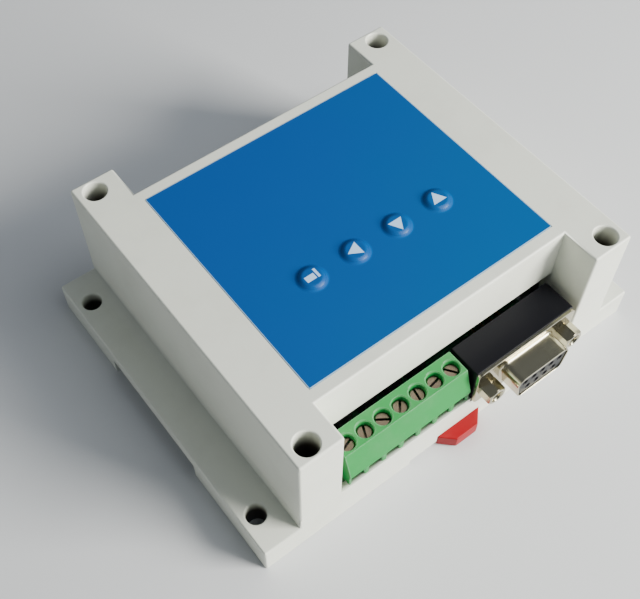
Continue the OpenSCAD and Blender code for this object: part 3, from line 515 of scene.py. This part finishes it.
def shade(made, angle=35):
    """Smooth shading that breaks at real edges, with normals that favour the large faces."""
    bm = bmesh.new()
    bm.from_mesh(made.data)
    bmesh.ops.remove_doubles(bm, verts=bm.verts, dist=0.001 * mm)
    bmesh.ops.dissolve_limit(bm, angle_limit=math.radians(0.5), verts=bm.verts, edges=bm.edges)
    bm.to_mesh(made.data)
    bm.free()
    made.data.polygons.foreach_set("use_smooth", [True] * len(made.data.polygons))
    made.data.set_sharp_from_angle(angle=math.radians(angle))
    weighted = made.modifiers.new("weighted", "WEIGHTED_NORMAL")
    weighted.keep_sharp = True
    return applied(made)


def fit(made, name, finish, body, nodes, angle=35):
    """Names a finished piece, gives it its material, and puts it on its body in place of its nodes."""
    shade(made, angle)
    made.name = name
    made.data.name = name
    made.data.materials.clear()
    made.data.materials.append(finishes[finish])
    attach(made, body)
    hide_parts(*nodes)
    print(name, len(made.data.polygons), "faces")
    return made


def rim(radius, top, centre, width=0.4, steps=48):
    """A cutter that rounds the rim of a hole in a level face at height top."""
    arc = [math.radians(30 * i) for i in range(4)]
    flare = [(radius + width - width * math.cos(a), top - width + width * math.sin(a)) for a in arc]
    profile = [(0, top - width)] + flare + [(radius + width, top + 1), (0, top + 1)]
    return solid(lathe(profile, (*centre, 0), steps))


def mirrored_spots(x, y):
    """The four points that mirror one point in X and Y."""
    return [(-x, -y), (-x, y), (x, -y), (x, y)]


# %% [markdown]
# ## The case
# The case is an ivory box in two halves. Two raised bars hold the deck between them, and the base carries the
# ears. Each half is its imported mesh, rounded by a hull, with the rims of the deep screw wells and of the ear
# holes eased. A hairline chamfer where the halves meet leaves the fine parting line that every such case
# shows.

# %% Sizes of the case
part_z = cover_low.z
bar_width = 11.6
recess = 10
wall = 2.2
tongue_room = 0.4
hair = 0.002
bar_in = half_x - bar_width
deck_y = half_y - recess
edge_radius = 0.6
print("case:", round(2 * half_x, 2), "by", round(2 * half_y, 2), "by", round(top_z, 2), "mm")

# %% Cover
outer_x, outer_y = half_x + hair, half_y + hair
h_outline = [(-outer_x, -outer_y), (-bar_in + hair, -outer_y), (-bar_in + hair, -deck_y - hair),
             (bar_in - hair, -deck_y - hair), (bar_in - hair, -outer_y), (outer_x, -outer_y),
             (outer_x, outer_y), (bar_in - hair, outer_y), (bar_in - hair, deck_y + hair),
             (-bar_in + hair, deck_y + hair), (-bar_in + hair, outer_y), (-outer_x, outer_y)]
h_hull = prism(h_outline, part_z - hair, top_z + hair)
soften(h_hull, edge_radius, lambda middle: middle.z > part_z + 1, segments=4)
soften(h_hull, 0.12, lambda middle: middle.z < part_z + 0.1 and abs(middle.x) > bar_in + 1, segments=1)
ledge = block((-bar_in - 1, deck_y - 1, part_z - hair), (bar_in + 1, outer_y, part_z + wall + hair))
soften(ledge, 0.4, lambda middle: middle.y > half_y - 1 and middle.z > part_z + 1)
cover_hull = carve(solid(h_hull), "UNION", solid(ledge))
cover = carve(packed_copy("cover"), "INTERSECT", cover_hull)
carve(cover, "DIFFERENCE", *[rim(well_radius, top_z, spot) for spot in mirrored_spots(*well_spot)])
fit(cover, "case_cover", "ivory_case", "housing", ["cover"])

# %% Base
ear_x = base_high.x + hair
t_outline = [(-ear_x, -hair), (ear_x, -hair), (ear_x, ear_top + hair), (outer_x, ear_top + hair),
             (outer_x, part_z + hair), (-outer_x, part_z + hair), (-outer_x, ear_top + hair),
             (-ear_x, ear_top + hair)]
t_hull = prism(t_outline, -outer_y, outer_y, along="y")
soften(t_hull, 0.12, lambda middle: middle.z > part_z - 0.1 and abs(middle.x) > bar_in, segments=1)
soften(t_hull, 0.5, lambda middle: 0.5 < middle.z < part_z - 1, segments=3)
soften(t_hull, 0.25, lambda middle: middle.z < 0.1, segments=2)
tongues = block((-half_x + wall, -deck_y, part_z - 1), (half_x - wall, deck_y, base_high.z + tongue_room))
base_hull = carve(solid(t_hull), "UNION", solid(tongues))
base = carve(packed_copy("base"), "INTERSECT", base_hull)
carve(base, "DIFFERENCE", *[rim(ear_hole_radius, ear_top, spot) for spot in mirrored_spots(*ear_spot)])
fit(base, "case_base", "ivory_case", "housing", ["base"])

# %% [markdown]
# ## The key panel
# The film is one thin sheet, pressed up into a low dome over each key. One curve gives the whole dome: level
# in the middle, then a smooth fall. The key is the dome's middle as a piece of its own, so that it can move,
# and the film keeps the foot of the dome round a hole with a hairline seam. A lathe makes both from the same
# curve.

# %% Film and keys
key_boxes = {key: box_mm("key_" + key) for key in key_turns}
key_radius = (key_boxes["enter"][1].x - key_boxes["enter"][0].x) / 2
film_corner = 0.6
swell_radius = 4.0
level_radius = 2.1
seam = 0.02


def rise(radius, height):
    """Height of the pressed dome above the film at a distance from its middle: level, then a smooth fall."""
    share = (radius - level_radius) / (swell_radius - level_radius)
    return height * (0.5 + 0.5 * math.cos(math.pi * min(1, max(0, share))))


def rounded_outline(low_x, low_y, high_x, high_y, radius, steps=6):
    points = []
    for turn, (x, y) in enumerate([(high_x, high_y), (low_x, high_y), (low_x, low_y), (high_x, low_y)]):
        inward = Vector((-1 if x == high_x else 1, -1 if y == high_y else 1)) * radius
        for i in range(steps + 1):
            angle = math.pi / 2 * (turn + i / steps)
            points.append((x + inward.x + radius * math.cos(angle), y + inward.y + radius * math.sin(angle)))
    return points


film_outline = rounded_outline(film_low.x, film_low.y, film_high.x, film_high.y, film_corner)
sheet = prism(film_outline, film_low.z, film_high.z)
soften(sheet, 0.1, lambda middle: middle.z > film_high.z - 0.01, segments=2)
film = solid(sheet)
swells = []
holes = []
dome_height = key_boxes["enter"][1].z - film_high.z
hole_radius = key_radius + seam
slope = [hole_radius + (swell_radius - hole_radius) * i / 8 for i in range(9)]
for low, high in key_boxes.values():
    spot = (*((low + high) / 2)[:2], 0)
    root = [(0, film_high.z - 0.1), (swell_radius, film_high.z - 0.1)]
    swell = [(radius, film_high.z + rise(radius, dome_height)) for radius in slope[::-1]]
    swells.append(solid(lathe(root + swell + [(0, swell[-1][1])], spot)))
    below, above = film_low.z - 1, film_high.z + 1
    holes.append(solid(lathe([(0, below), (hole_radius, below), (hole_radius, above), (0, above)], spot)))
carve(film, "UNION", *swells)
carve(film, "DIFFERENCE", *holes)
fit(film, "key_panel_film", "panel_film", "housing", ["label_overlay"])

for key, (low, high) in key_boxes.items():
    spot = (*((low + high) / 2)[:2], 0)
    dome = [(key_radius * i / 14, film_high.z + rise(key_radius * i / 14, high.z - film_high.z))
            for i in range(15)]
    profile = [(0, low.z), (key_radius - 0.1, low.z), (key_radius, low.z + 0.1)] + dome[::-1]
    fit(solid(lathe(profile, spot)), "panel_key_" + key, "key_film_" + key, key + "_key", ["key_" + key])

# %% [markdown]
# ## Screws from one node tree
# Every screw here is the same idea: a head with a slot or a cross, and a threaded shank. Geometry Nodes can
# make them all from one tree. The thread is a flat grid wrapped round an axis, where the radius of each point
# depends on its height and its turn, so that the ridge climbs like a real thread. The sizes are named inputs
# of the tree.

# %% The screw tree
def start_geometry(name, sizes):
    tree = bpy.data.node_groups.new(name, "GeometryNodeTree")
    tree.interface.new_socket("Geometry", in_out="OUTPUT", socket_type="NodeSocketGeometry")
    tree.interface.new_socket("Geometry", in_out="INPUT", socket_type="NodeSocketGeometry")
    for label, value in sizes.items():
        kind = {int: "NodeSocketInt", float: "NodeSocketFloat"}.get(type(value), "NodeSocketMaterial")
        socket = tree.interface.new_socket(label, in_out="INPUT", socket_type=kind)
        if value is not None:
            socket.default_value = value
    return tree, tree.nodes.new("NodeGroupInput").outputs, tree.nodes.new("NodeGroupOutput")


def vector(tree, x=0.0, y=0.0, z=0.0):
    return add(tree, "ShaderNodeCombineXYZ", {0: x, 1: y, 2: z}).outputs[0]


def moved(tree, geometry, shift):
    return add(tree, "GeometryNodeTransform", {"Geometry": geometry, "Translation": shift}).outputs[0]


def end_geometry(tree, given, result, instance, **rotation):
    """Puts one instance on each given point, makes them real, and gives them their material."""
    inputs = {"Points": given["Geometry"], "Instance": instance, **rotation}
    placed = add(tree, "GeometryNodeInstanceOnPoints", inputs)
    real = add(tree, "GeometryNodeRealizeInstances", {0: placed.outputs[0]})
    inputs = {"Geometry": real.outputs[0], "Material": given["Material"]}
    tree.links.new(add(tree, "GeometryNodeSetMaterial", inputs).outputs[0], result.inputs[0])
    return tree


def screw_tree():
    tree, given, result = start_geometry("screw", {
        "Head Radius": 1.9 * mm, "Head Height": 1.6 * mm, "Dome": 0.5 * mm, "Shank Radius": 1.25 * mm,
        "Shank Length": 4.0 * mm, "Pitch": 0.45 * mm, "Ridge": 0.12 * mm, "Slot Width": 0.6 * mm,
        "Slot Depth": 0.8 * mm, "Slots": 1, "Slot Reach": 3.8 * mm, "Turn": 0.0, "Tilt": 0.0,
        "Material": None})
    # the head: a drum with a narrower cone on top
    drum_height = calc(tree, "SUBTRACT", given["Head Height"], given["Dome"])
    drum = add(tree, "GeometryNodeMeshCylinder",
               {"Vertices": 40, "Radius": given["Head Radius"], "Depth": drum_height})
    drum = moved(tree, drum.outputs[0], vector(tree, z=calc(tree, "MULTIPLY", drum_height, 0.5)))
    crown_radius = calc(tree, "MULTIPLY", given["Head Radius"], 0.8)
    crown = add(tree, "GeometryNodeMeshCone", {"Vertices": 40, "Radius Top": crown_radius,
                "Radius Bottom": given["Head Radius"], "Depth": given["Dome"]})
    crown = moved(tree, crown.outputs[0], vector(tree, z=drum_height))
    # the slot, or two of them crossed
    slot_height = calc(tree, "MULTIPLY", given["Slot Depth"], 2.0)
    slot_size = vector(tree, given["Slot Reach"], given["Slot Width"], slot_height)
    slot = add(tree, "GeometryNodeMeshCube", {"Size": slot_size})
    spokes = add(tree, "GeometryNodeMeshLine", {"Count": given["Slots"], "Offset": (0, 0, 0)})
    step = calc(tree, "MULTIPLY", add(tree, "GeometryNodeInputIndex").outputs[0], math.pi / 2)
    facing = vector(tree, z=calc(tree, "ADD", step, given["Turn"]))
    spin = add(tree, "FunctionNodeEulerToRotation", {0: facing})
    cuts = add(tree, "GeometryNodeInstanceOnPoints", {
        "Points": spokes.outputs[0], "Instance": slot.outputs[0], "Rotation": spin.outputs[0]})
    cuts = moved(tree, add(tree, "GeometryNodeRealizeInstances", {0: cuts.outputs[0]}).outputs[0],
                 vector(tree, z=given["Head Height"]))
    whole = add(tree, "GeometryNodeMeshBoolean", {}, operation="UNION")
    tree.links.new(drum, whole.inputs["Mesh 2"])
    tree.links.new(crown, whole.inputs["Mesh 2"])
    head = add(tree, "GeometryNodeMeshBoolean", {"Mesh 1": whole.outputs[0], "Mesh 2": cuts},
               operation="DIFFERENCE")
    # the shank: a grid whose first side runs down the screw and whose second side runs round it
    thread_turns = calc(tree, "DIVIDE", given["Shank Length"], given["Pitch"])
    rows = calc(tree, "MULTIPLY", thread_turns, 4.0)
    grid = add(tree, "GeometryNodeMeshGrid", {"Size X": 1.0, "Size Y": 1.0, "Vertices Y": 19})
    tree.links.new(rows, grid.inputs["Vertices X"])
    flat = add(tree, "ShaderNodeSeparateXYZ", {0: add(tree, "GeometryNodeInputPosition").outputs[0]}).outputs
    share = calc(tree, "ADD", flat[0], 0.5)
    around = calc(tree, "MULTIPLY", flat[1], 2 * math.pi)
    depth = calc(tree, "MULTIPLY", share, given["Shank Length"])
    climb = calc(tree, "SUBTRACT", calc(tree, "DIVIDE", depth, given["Pitch"]), flat[1])
    ridge_scale = calc(tree, "MULTIPLY", given["Ridge"], 2.0)
    ridge = calc(tree, "MULTIPLY", calc(tree, "PINGPONG", climb, 0.5), ridge_scale)
    radius = calc(tree, "SUBTRACT", given["Shank Radius"], ridge)
    past_top = calc(tree, "GREATER_THAN", share, 0.001)
    before_tip = calc(tree, "LESS_THAN", share, 0.999)
    open_end = calc(tree, "MULTIPLY", past_top, before_tip)
    radius = calc(tree, "MULTIPLY", radius, open_end)
    wrapped = vector(tree, calc(tree, "MULTIPLY", radius, calc(tree, "COSINE", around)),
                     calc(tree, "MULTIPLY", radius, calc(tree, "SINE", around)),
                     calc(tree, "SUBTRACT", 0.1 * mm, depth))
    shank = add(tree, "GeometryNodeSetPosition", {"Geometry": grid.outputs[0], "Position": wrapped})
    shank = add(tree, "GeometryNodeMergeByDistance", {"Geometry": shank.outputs[0], "Distance": 0.01 * mm})
    # one screw on each point, tilted to where it points
    screw = add(tree, "GeometryNodeJoinGeometry")
    tree.links.new(head.outputs[0], screw.inputs[0])
    tree.links.new(shank.outputs[0], screw.inputs[0])
    tilt = add(tree, "FunctionNodeEulerToRotation", {0: vector(tree, x=given["Tilt"])})
    return end_geometry(tree, given, result, screw.outputs[0], Rotation=tilt.outputs[0])


def grown(tree, points, sizes):
    """The tree's result on some points, as a plain mesh object."""
    mesh = bpy.data.meshes.new("points")
    mesh.from_pydata([Vector(point) * mm for point in points], [], [])
    made = bpy.data.objects.new("points", mesh)
    bpy.context.scene.collection.objects.link(made)
    step = made.modifiers.new("grow", "NODES")
    step.node_group = tree
    names = {item.name: item.identifier for item in tree.interface.items_tree if item.in_out == "INPUT"}
    for name, value in sizes.items():
        step[names[name]] = value
    applied(made)
    bm = bmesh.new()
    bm.from_mesh(made.data)
    bmesh.ops.recalc_face_normals(bm, faces=bm.faces)
    bm.to_mesh(made.data)
    bm.free()
    return made


SCREW = screw_tree()

# %% Every screw of the module
way_count = sum(name.startswith("terminal_screw_") for name in frame["nodes"])
slot_turns = [20, 65, -35, 50, 80, 10, -55]
for way in range(way_count):
    node = f"terminal_screw_{way + 1}"
    low, high = box_mm(node)
    head_radius = (high.x - low.x) / 2
    head_height = 1.6
    seat = ((low.x + high.x) / 2, (low.y + high.y) / 2, high.z - head_height)
    sizes = {"Head Radius": head_radius * mm, "Head Height": head_height * mm, "Dome": 0.3 * mm,
             "Shank Radius": 1.25 * mm, "Shank Length": (seat[2] - low.z + 0.1) * mm, "Slot Reach": 4 * mm,
             "Turn": math.radians(slot_turns[way]), "Material": finishes["dull_screw"]}
    fit(grown(SCREW, [seat], sizes), f"way_{way + 1}_terminal_screw", "dull_screw", f"way_{way + 1}_screw",
        [node])


def group_of_screws(node, name, seats, head, shank, tilt=0.0):
    """Cross-headed screws, one on each seat. Head and shank are (radius, length). Tilt 0 points down."""
    slot_depth = head[1] * 0.55
    slot_reach = head[0] * 1.2
    sizes = {"Head Radius": head[0] * mm, "Head Height": head[1] * mm, "Dome": 0.5 * mm,
             "Shank Radius": shank[0] * mm, "Shank Length": (shank[1] + 0.1) * mm, "Pitch": 0.9 * mm,
             "Ridge": 0.25 * mm, "Slot Width": 0.6 * mm, "Slot Depth": slot_depth * mm, "Slots": 2,
             "Slot Reach": slot_reach * mm, "Tilt": tilt, "Material": finishes["zinc_steel"]}
    fit(grown(SCREW, seats, sizes), name, "zinc_steel", "housing", [node])


def inner_corners(low, high, inset):
    return [(x, y) for x in (low.x + inset, high.x - inset) for y in (low.y + inset, high.y - inset)]


case_head, case_shank = (2.6, 2), (1.45, 14)
low, high = box_mm("cover_screws")
seats = [(x, y, high.z - case_head[1]) for x, y in mirrored_spots(*well_spot)]
group_of_screws("cover_screws", "case_screws", seats, case_head, case_shank)

board_head, board_shank = (2.7, 1.9), (1.45, 6.6)
low, high = box_mm("board_screws")
seats = [(x, y, high.z - board_head[1]) for x, y in inner_corners(low, high, board_head[0])]
group_of_screws("board_screws", "main_board_screws", seats, board_head, board_shank)

key_board_head, key_board_shank = (2, 1.5), (1.1, 5.2)
low, high = box_mm("keypad_screws")
seats = [(x, y, low.z + key_board_head[1]) for x, y in inner_corners(low, high, key_board_head[0])]
group_of_screws("keypad_screws", "key_board_screws", seats, key_board_head, key_board_shank, tilt=math.pi)

heatsink_head, heatsink_shank = (2.7, 1.9), (1.5, 8.5)
low, high = box_mm("heatsink_screws")
middle_z = (low.z + high.z) / 2
screw_x = (low.x + heatsink_head[0], high.x - heatsink_head[0])
seats = [(x, low.y + heatsink_head[1], middle_z) for x in screw_x]
group_of_screws("heatsink_screws", "heatsink_fixing_screws", seats, heatsink_head, heatsink_shank,
                tilt=math.pi / 2)

# %% [markdown]
# ## The terminal block
# The green block holds seven equal ways, each with a deep round well over its screw and a square mouth for
# the wire. The wells get an eased rim and the mouths a short funnel. One Geometry Nodes tree makes the two
# cutters of a way and repeats them on one point for each way, so that all seven come out alike.

# %% Cutters for the ways
def way_tree():
    tree, given, result = start_geometry("way_cuts", {
        "Well Radius": 2.05 * mm, "Rim": 0.25 * mm, "Mouth Width": 3.6 * mm, "Mouth Height": 3.1 * mm,
        "Flare": 0.3 * mm, "Mouth Drop": 0.0, "Mouth Out": 0.0, "Material": None})
    rim_top = calc(tree, "MULTIPLY_ADD", given["Rim"], 2.0, given["Well Radius"])
    well = add(tree, "GeometryNodeMeshCone", {"Vertices": 48, "Radius Top": rim_top,
               "Radius Bottom": given["Well Radius"], "Depth": calc(tree, "MULTIPLY", given["Rim"], 2.0)})
    well = moved(tree, well.outputs[0], vector(tree, z=calc(tree, "MULTIPLY", given["Rim"], -1.0)))
    # a four-sided cone, turned to lie square, is a funnel one unit wide at its narrow end
    wide = calc(tree, "MULTIPLY_ADD", calc(tree, "DIVIDE", given["Flare"], given["Mouth Width"]), 4.0, 1.0)
    half_diagonal = 0.5 ** 0.5
    funnel = add(tree, "GeometryNodeMeshCone", {
        "Vertices": 4, "Radius Top": calc(tree, "MULTIPLY", wide, half_diagonal),
        "Radius Bottom": half_diagonal, "Depth": calc(tree, "MULTIPLY", given["Flare"], 2.0)})
    square = add(tree, "GeometryNodeTransform",
                 {"Geometry": funnel.outputs[0], "Rotation": (0, 0, math.pi / 4)})
    sized = add(tree, "GeometryNodeTransform", {"Geometry": square.outputs[0],
                "Scale": vector(tree, given["Mouth Width"], given["Mouth Height"], 1.0)})
    faced = add(tree, "GeometryNodeTransform",
                {"Geometry": sized.outputs[0], "Rotation": (math.pi / 2, 0, 0)})
    mouth_y = calc(tree, "ADD", calc(tree, "MULTIPLY", given["Mouth Out"], -1.0), given["Flare"])
    mouth_z = calc(tree, "MULTIPLY", given["Mouth Drop"], -1.0)
    mouth = moved(tree, faced.outputs[0], vector(tree, 0.0, mouth_y, mouth_z))
    way = add(tree, "GeometryNodeJoinGeometry")
    tree.links.new(well, way.inputs[0])
    tree.links.new(mouth, way.inputs[0])
    return end_geometry(tree, given, result, way.outputs[0])


# %% Terminal block
block_low, block_high = box_mm("terminal_housing")
lip_y, step_y, lip_z = -44.7, -43.1, 13.1
ridge_low_z, ridge_high_z, lean = 16.8, 17.1, 2.3
mouth_low_z, mouth_high_z = 12.95, 16.05
profile = [(block_high.y, block_low.z), (step_y, block_low.z), (step_y, lip_z), (lip_y, lip_z),
           (lip_y, ridge_low_z - 0.2), (block_low.y, ridge_low_z), (block_low.y, ridge_high_z),
           (block_low.y + lean, block_high.z), (block_high.y, block_high.z)]
hull_middle = Vector(((block_low.y + block_high.y) / 2, (block_low.z + block_high.z) / 2))
hull_profile = [tuple(hull_middle + (Vector(point) - hull_middle) * 1.0003) for point in profile]
block_hull = prism(hull_profile, block_low.x - hair, block_high.x + hair, along="x")
soften(block_hull, 0.1, lambda middle: middle.z > lip_z + 1, segments=2)
block_piece = carve(packed_copy("terminal_housing"), "INTERSECT", solid(block_hull))
way_boxes = [box_mm(f"terminal_screw_{way + 1}") for way in range(way_count)]
way_x = [(low.x + high.x) / 2 for low, high in way_boxes]
way_y = (way_boxes[0][0].y + way_boxes[0][1].y) / 2
cuts = grown(way_tree(), [(x, way_y, block_high.z) for x in way_x], {
    "Mouth Drop": (block_high.z - (mouth_low_z + mouth_high_z) / 2) * mm, "Mouth Out": (way_y - lip_y) * mm,
    "Material": finishes["terminal_green"]})
carve(block_piece, "DIFFERENCE", cuts)
fit(block_piece, "terminal_block", "terminal_green", "housing", ["terminal_housing"])

# %% [markdown]
# ## The serial connector
# A pressed steel flange and D-shaped shell stand in front of a black moulding. Pressed steel has a fillet
# where the shell leaves the flange and a rounded lip, and both catch the light. A stack of D outlines, each
# grown or shrunk a little, gives the shell, its inside and the insert from short profiles.

# %% Shapes of the connector
body_low, body_high = box_mm("dsub_body")
shell_low, shell_high = box_mm("dsub_shell")
insert_low, insert_high = box_mm("dsub_insert")
connector_x = (shell_low.x + shell_high.x) / 2
connector_z = (shell_low.z + shell_high.z) / 2
flange_y, lip_face_y = -45.9, shell_low.y
shell_wall = 0.4
shell_half_w, shell_half_h, shell_corner = 8.15, 3.95, 2.0
side_lean = math.tan(math.radians(10))


def d_outline(grow, steps=7):
    """The D shape round the connector's middle, wide side up, grown by a margin."""
    inset = shell_half_h - shell_corner
    wide = shell_half_w - shell_corner
    lean_out = 2 * inset * side_lean
    centres = [(wide, inset), (-wide, inset), (-wide + lean_out, -inset), (wide - lean_out, -inset)]
    turns = [(-10, 90), (90, 190), (190, 270), (270, 350)]
    points = []
    for (x, z), (start, end) in zip(centres, turns):
        for i in range(steps + 1):
            angle = math.radians(start + (end - start) * i / steps)
            reach = shell_corner + grow
            points.append((connector_x + x + reach * math.cos(angle),
                           connector_z + z + reach * math.sin(angle)))
    return points


def drawn(profile):
    """A closed stack of D outlines from (grow, y) points."""
    bm = bmesh.new()
    rings = [[bm.verts.new((x, y, z)) for x, z in d_outline(grow)] for grow, y in profile]
    for first, second in zip(rings, rings[1:]):
        for i in range(len(first)):
            j = (i + 1) % len(first)
            bm.faces.new((first[i], first[j], second[j], second[i]))
    bm.faces.new(rings[0])
    bm.faces.new(rings[-1][::-1])
    bmesh.ops.recalc_face_normals(bm, faces=bm.faces)
    return solid(bm)


def bore(x, z, profile, steps=32):
    """A turned cutter or pin along Y, from (radius, y) points."""
    return solid(lathe(profile, (x, 0, z), steps, along="y"))


# %% Flange and shell
jack_x = (connector_x - 12.5, connector_x + 12.5)
plate_outline = rounded_outline(shell_low.x, shell_low.z, shell_high.x, shell_high.z, 1.4)
plate = prism(plate_outline, flange_y, shell_high.y, along="y")
soften(plate, 0.12, lambda middle: middle.y < flange_y + 0.01, segments=2)
tube = [(0.7, shell_high.y - 0.3), (0.7, flange_y + 0.05)]
tube += [(0.7 - 0.7 * math.sin(math.radians(a)), flange_y + 0.02 - 0.7 * (1 - math.cos(math.radians(a))))
         for a in (15, 30, 45, 60, 75, 90)]
tube += [(0, lip_face_y + 0.15), (-0.04, lip_face_y + 0.05), (-0.14, lip_face_y)]
inside = [(-shell_wall, shell_high.y + 1), (-shell_wall, lip_face_y + 0.12), (-shell_wall + 0.1, lip_face_y),
          (-shell_wall + 0.1, lip_face_y - 1)]
shell = carve(solid(plate), "UNION", drawn(tube))
carve(shell, "DIFFERENCE", drawn(inside))
jack_hole_radius, hole_end_y = 1.55, -44
jack_hole = [(0, flange_y - 1), (jack_hole_radius, flange_y - 1),
             (jack_hole_radius, hole_end_y), (0, hole_end_y)]
carve(shell, "DIFFERENCE", *[bore(x, connector_z, jack_hole) for x in jack_x])
fit(shell, "connector_shell", "plated_shell", "housing", ["dsub_shell"], angle=40)

# %% Insert, moulding and jackscrews
contact_pitch, row_z = 2.77, 1.42
contact_spots = [(connector_x + (i - 2) * contact_pitch, connector_z + row_z) for i in range(5)]
contact_spots += [(connector_x + (i - 1.5) * contact_pitch, connector_z - row_z) for i in range(4)]
face_y = insert_low.y
insert = drawn([(-shell_wall - 0.05, insert_high.y), (-shell_wall - 0.05, face_y + 0.15),
                (-shell_wall - 0.2, face_y)])
hole = [(0, face_y - 1), (0.9, face_y - 1), (0.9, face_y), (0.6, face_y + 0.3), (0.6, -44), (0, -44)]
carve(insert, "DIFFERENCE", *[bore(x, z, hole, 20) for x, z in contact_spots])
fit(insert, "connector_insert", "black_moulding", "housing", ["dsub_insert"])

hull = block(Vector(body_low) - Vector((hair,) * 3), Vector(body_high) + Vector((hair,) * 3))
soften(hull, 0.35, lambda middle: middle.z > body_low.z + 1, segments=3)
moulding = carve(packed_copy("dsub_body"), "INTERSECT", solid(hull))
fit(moulding, "connector_moulding", "black_moulding", "housing", ["dsub_body"])

jack_low, jack_high = box_mm("dsub_jackscrews")
jacks = packed_copy("dsub_jackscrews")
hex_hull = [(0, jack_low.y - 0.01), (2.3, jack_low.y - 0.01), (2.77, jack_low.y + 0.4),
            (2.77, flange_y - 0.25), (2.5, flange_y + 0.01), (2.1, flange_y + 0.01),
            (2.1, jack_high.y - 1), (0.9, jack_high.y + 0.01), (0, jack_high.y + 0.01)]
ends = [bore(x, connector_z, hex_hull, 48) for x in jack_x]
both = carve(ends[0], "UNION", ends[1])
carve(jacks, "INTERSECT", both)
crests = [(1.42 + 0.14 * (i % 2), jack_low.y + 0.35 * i) for i in range(1, 10)]
mouth = [(0, jack_low.y - 1), (1.75, jack_low.y - 1), (1.75, jack_low.y)]
threaded = mouth + crests + [(0, jack_low.y + 3.2)]
carve(jacks, "DIFFERENCE", *[bore(x, connector_z, threaded, 40) for x in jack_x])
fit(jacks, "connector_jackscrews", "plated_shell", "housing", ["dsub_jackscrews"])

# %% [markdown]
# ## The rail clip
# The red clip slides in the base and holds the module on a rail. Only its pointed tip shows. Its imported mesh
# keeps the slot and the two springy leaves, and a softened outline takes the sharpness off its edges.

# %% Clip
clip_low, clip_high = box_mm("rail_clip")
tip_half, body_half, flange_front_y, flange_back_y = 3.3, 6.6, -36, -17.25
half_outline = [(tip_half, clip_low.y), (body_half, clip_low.y + body_half - tip_half),
                (body_half, flange_front_y), (clip_high.x, flange_front_y),
                (clip_high.x, flange_back_y), (body_half, flange_back_y), (body_half, clip_high.y)]
clip_outline = half_outline + [(-x, y) for x, y in half_outline[::-1]]
grown_outline = [(x * 1.0003, y * 1.0003 + 0.01 * (1 if y > -30 else -1)) for x, y in clip_outline]
clip_hull = prism(grown_outline, clip_low.z - hair, clip_high.z + hair)
soften(clip_hull, 0.35, lambda middle: middle.y < flange_front_y + 0.5, segments=3)
clip_piece = carve(packed_copy("rail_clip"), "INTERSECT", solid(clip_hull))
fit(clip_piece, "rail_clip_piece", "signal_red", "clip", ["rail_clip"])

# %% [markdown]
# ## Finishes for the parts inside
# The boards, chips, switches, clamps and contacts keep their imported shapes, because little of them shows.
# Each takes a finish from the slot that its record names, so nothing is left in a flat colour.

# %% Finish by slot
slot_finishes = {
    "housing_plastic": "ivory_case", "zinc_steel": "zinc_steel", "overlay_blue": "panel_film",
    "black_plastic": "black_moulding", "switch_metal": "switch_steel", "board_green": "board_varnish",
    "terminal_green": "terminal_green", "tinned_copper": "tinned_copper", "plated_shell": "plated_shell",
    "gold_brass": "gold_brass", "chip_epoxy": "chip_epoxy", "heatsink_aluminium": "brushed_aluminium",
    "ferrite": "ferrite", "can_sleeve": "capacitor_sleeve", "ceramic_tan": "ceramic",
    "clip_red": "signal_red", "terminal_screw_steel": "dull_screw", "clamp_nickel": "nickel_brass"}
for part in frame["record"]["subparts"]:
    node = frame["nodes"][part["node"]]
    for i in range(len(node.data.materials)):
        node.data.materials[i] = finishes[slot_finishes[part["material_slot"]]]

# %% [markdown]
# ## The room
# A plain pale floor and three soft lights are enough. The main light stands low in front, so that the faces
# with the terminals are the brightest, the top is a little cooler, and the side away from it falls into
# shade.

# %% Floor and lights
def area_light(name, place, aim_at, size, watts, colour):
    light = bpy.data.lights.new(name, "AREA")
    light.energy = watts
    light.size = size
    light.color = colour
    made = bpy.data.objects.new(name, light)
    direction = Vector(aim_at) - Vector(place)
    made.matrix_world = Matrix.Translation(place) @ direction.to_track_quat("-Z", "Y").to_matrix().to_4x4()
    bpy.context.scene.collection.objects.link(made)


tree, shader = start_finish("floor_paper")
paper = add(tree, "ShaderNodeTexNoise", {"Vector": place_mm(tree), "Scale": 0.01, "Detail": 3.0})
tree.links.new(mix_colours(tree, paper.outputs[0], (0.66, 0.67, 0.68, 1), (0.7, 0.71, 0.72, 1)),
               shader.inputs["Base Color"])
shader.inputs["Roughness"].default_value = 0.9
floor_bm = bmesh.new()
bmesh.ops.create_grid(floor_bm, x_segments=1, y_segments=1, size=1500)
floor = solid(floor_bm, "floor")
floor.location.z = -0.02 * mm
floor.data.materials.append(finishes["floor_paper"])

area_light("main_light", (0.42, -0.58, 0.36), (0, -0.02, 0.02), 0.35, 17.0, (1.0, 0.985, 0.93))
area_light("top_light", (0.32, -0.3, 0.72), (0, 0, 0.02), 0.6, 2.6, (0.86, 0.93, 1.0))
area_light("side_light", (-0.7, 0.1, 0.35), (0, 0, 0.02), 0.5, 0.4, (0.95, 1.0, 0.88))
world = bpy.data.worlds.new("room")
world.use_nodes = True
world.node_tree.nodes["Background"].inputs["Color"].default_value = (0.78, 0.86, 1.0, 1)
world.node_tree.nodes["Background"].inputs["Strength"].default_value = 0.16
bpy.context.scene.world = world
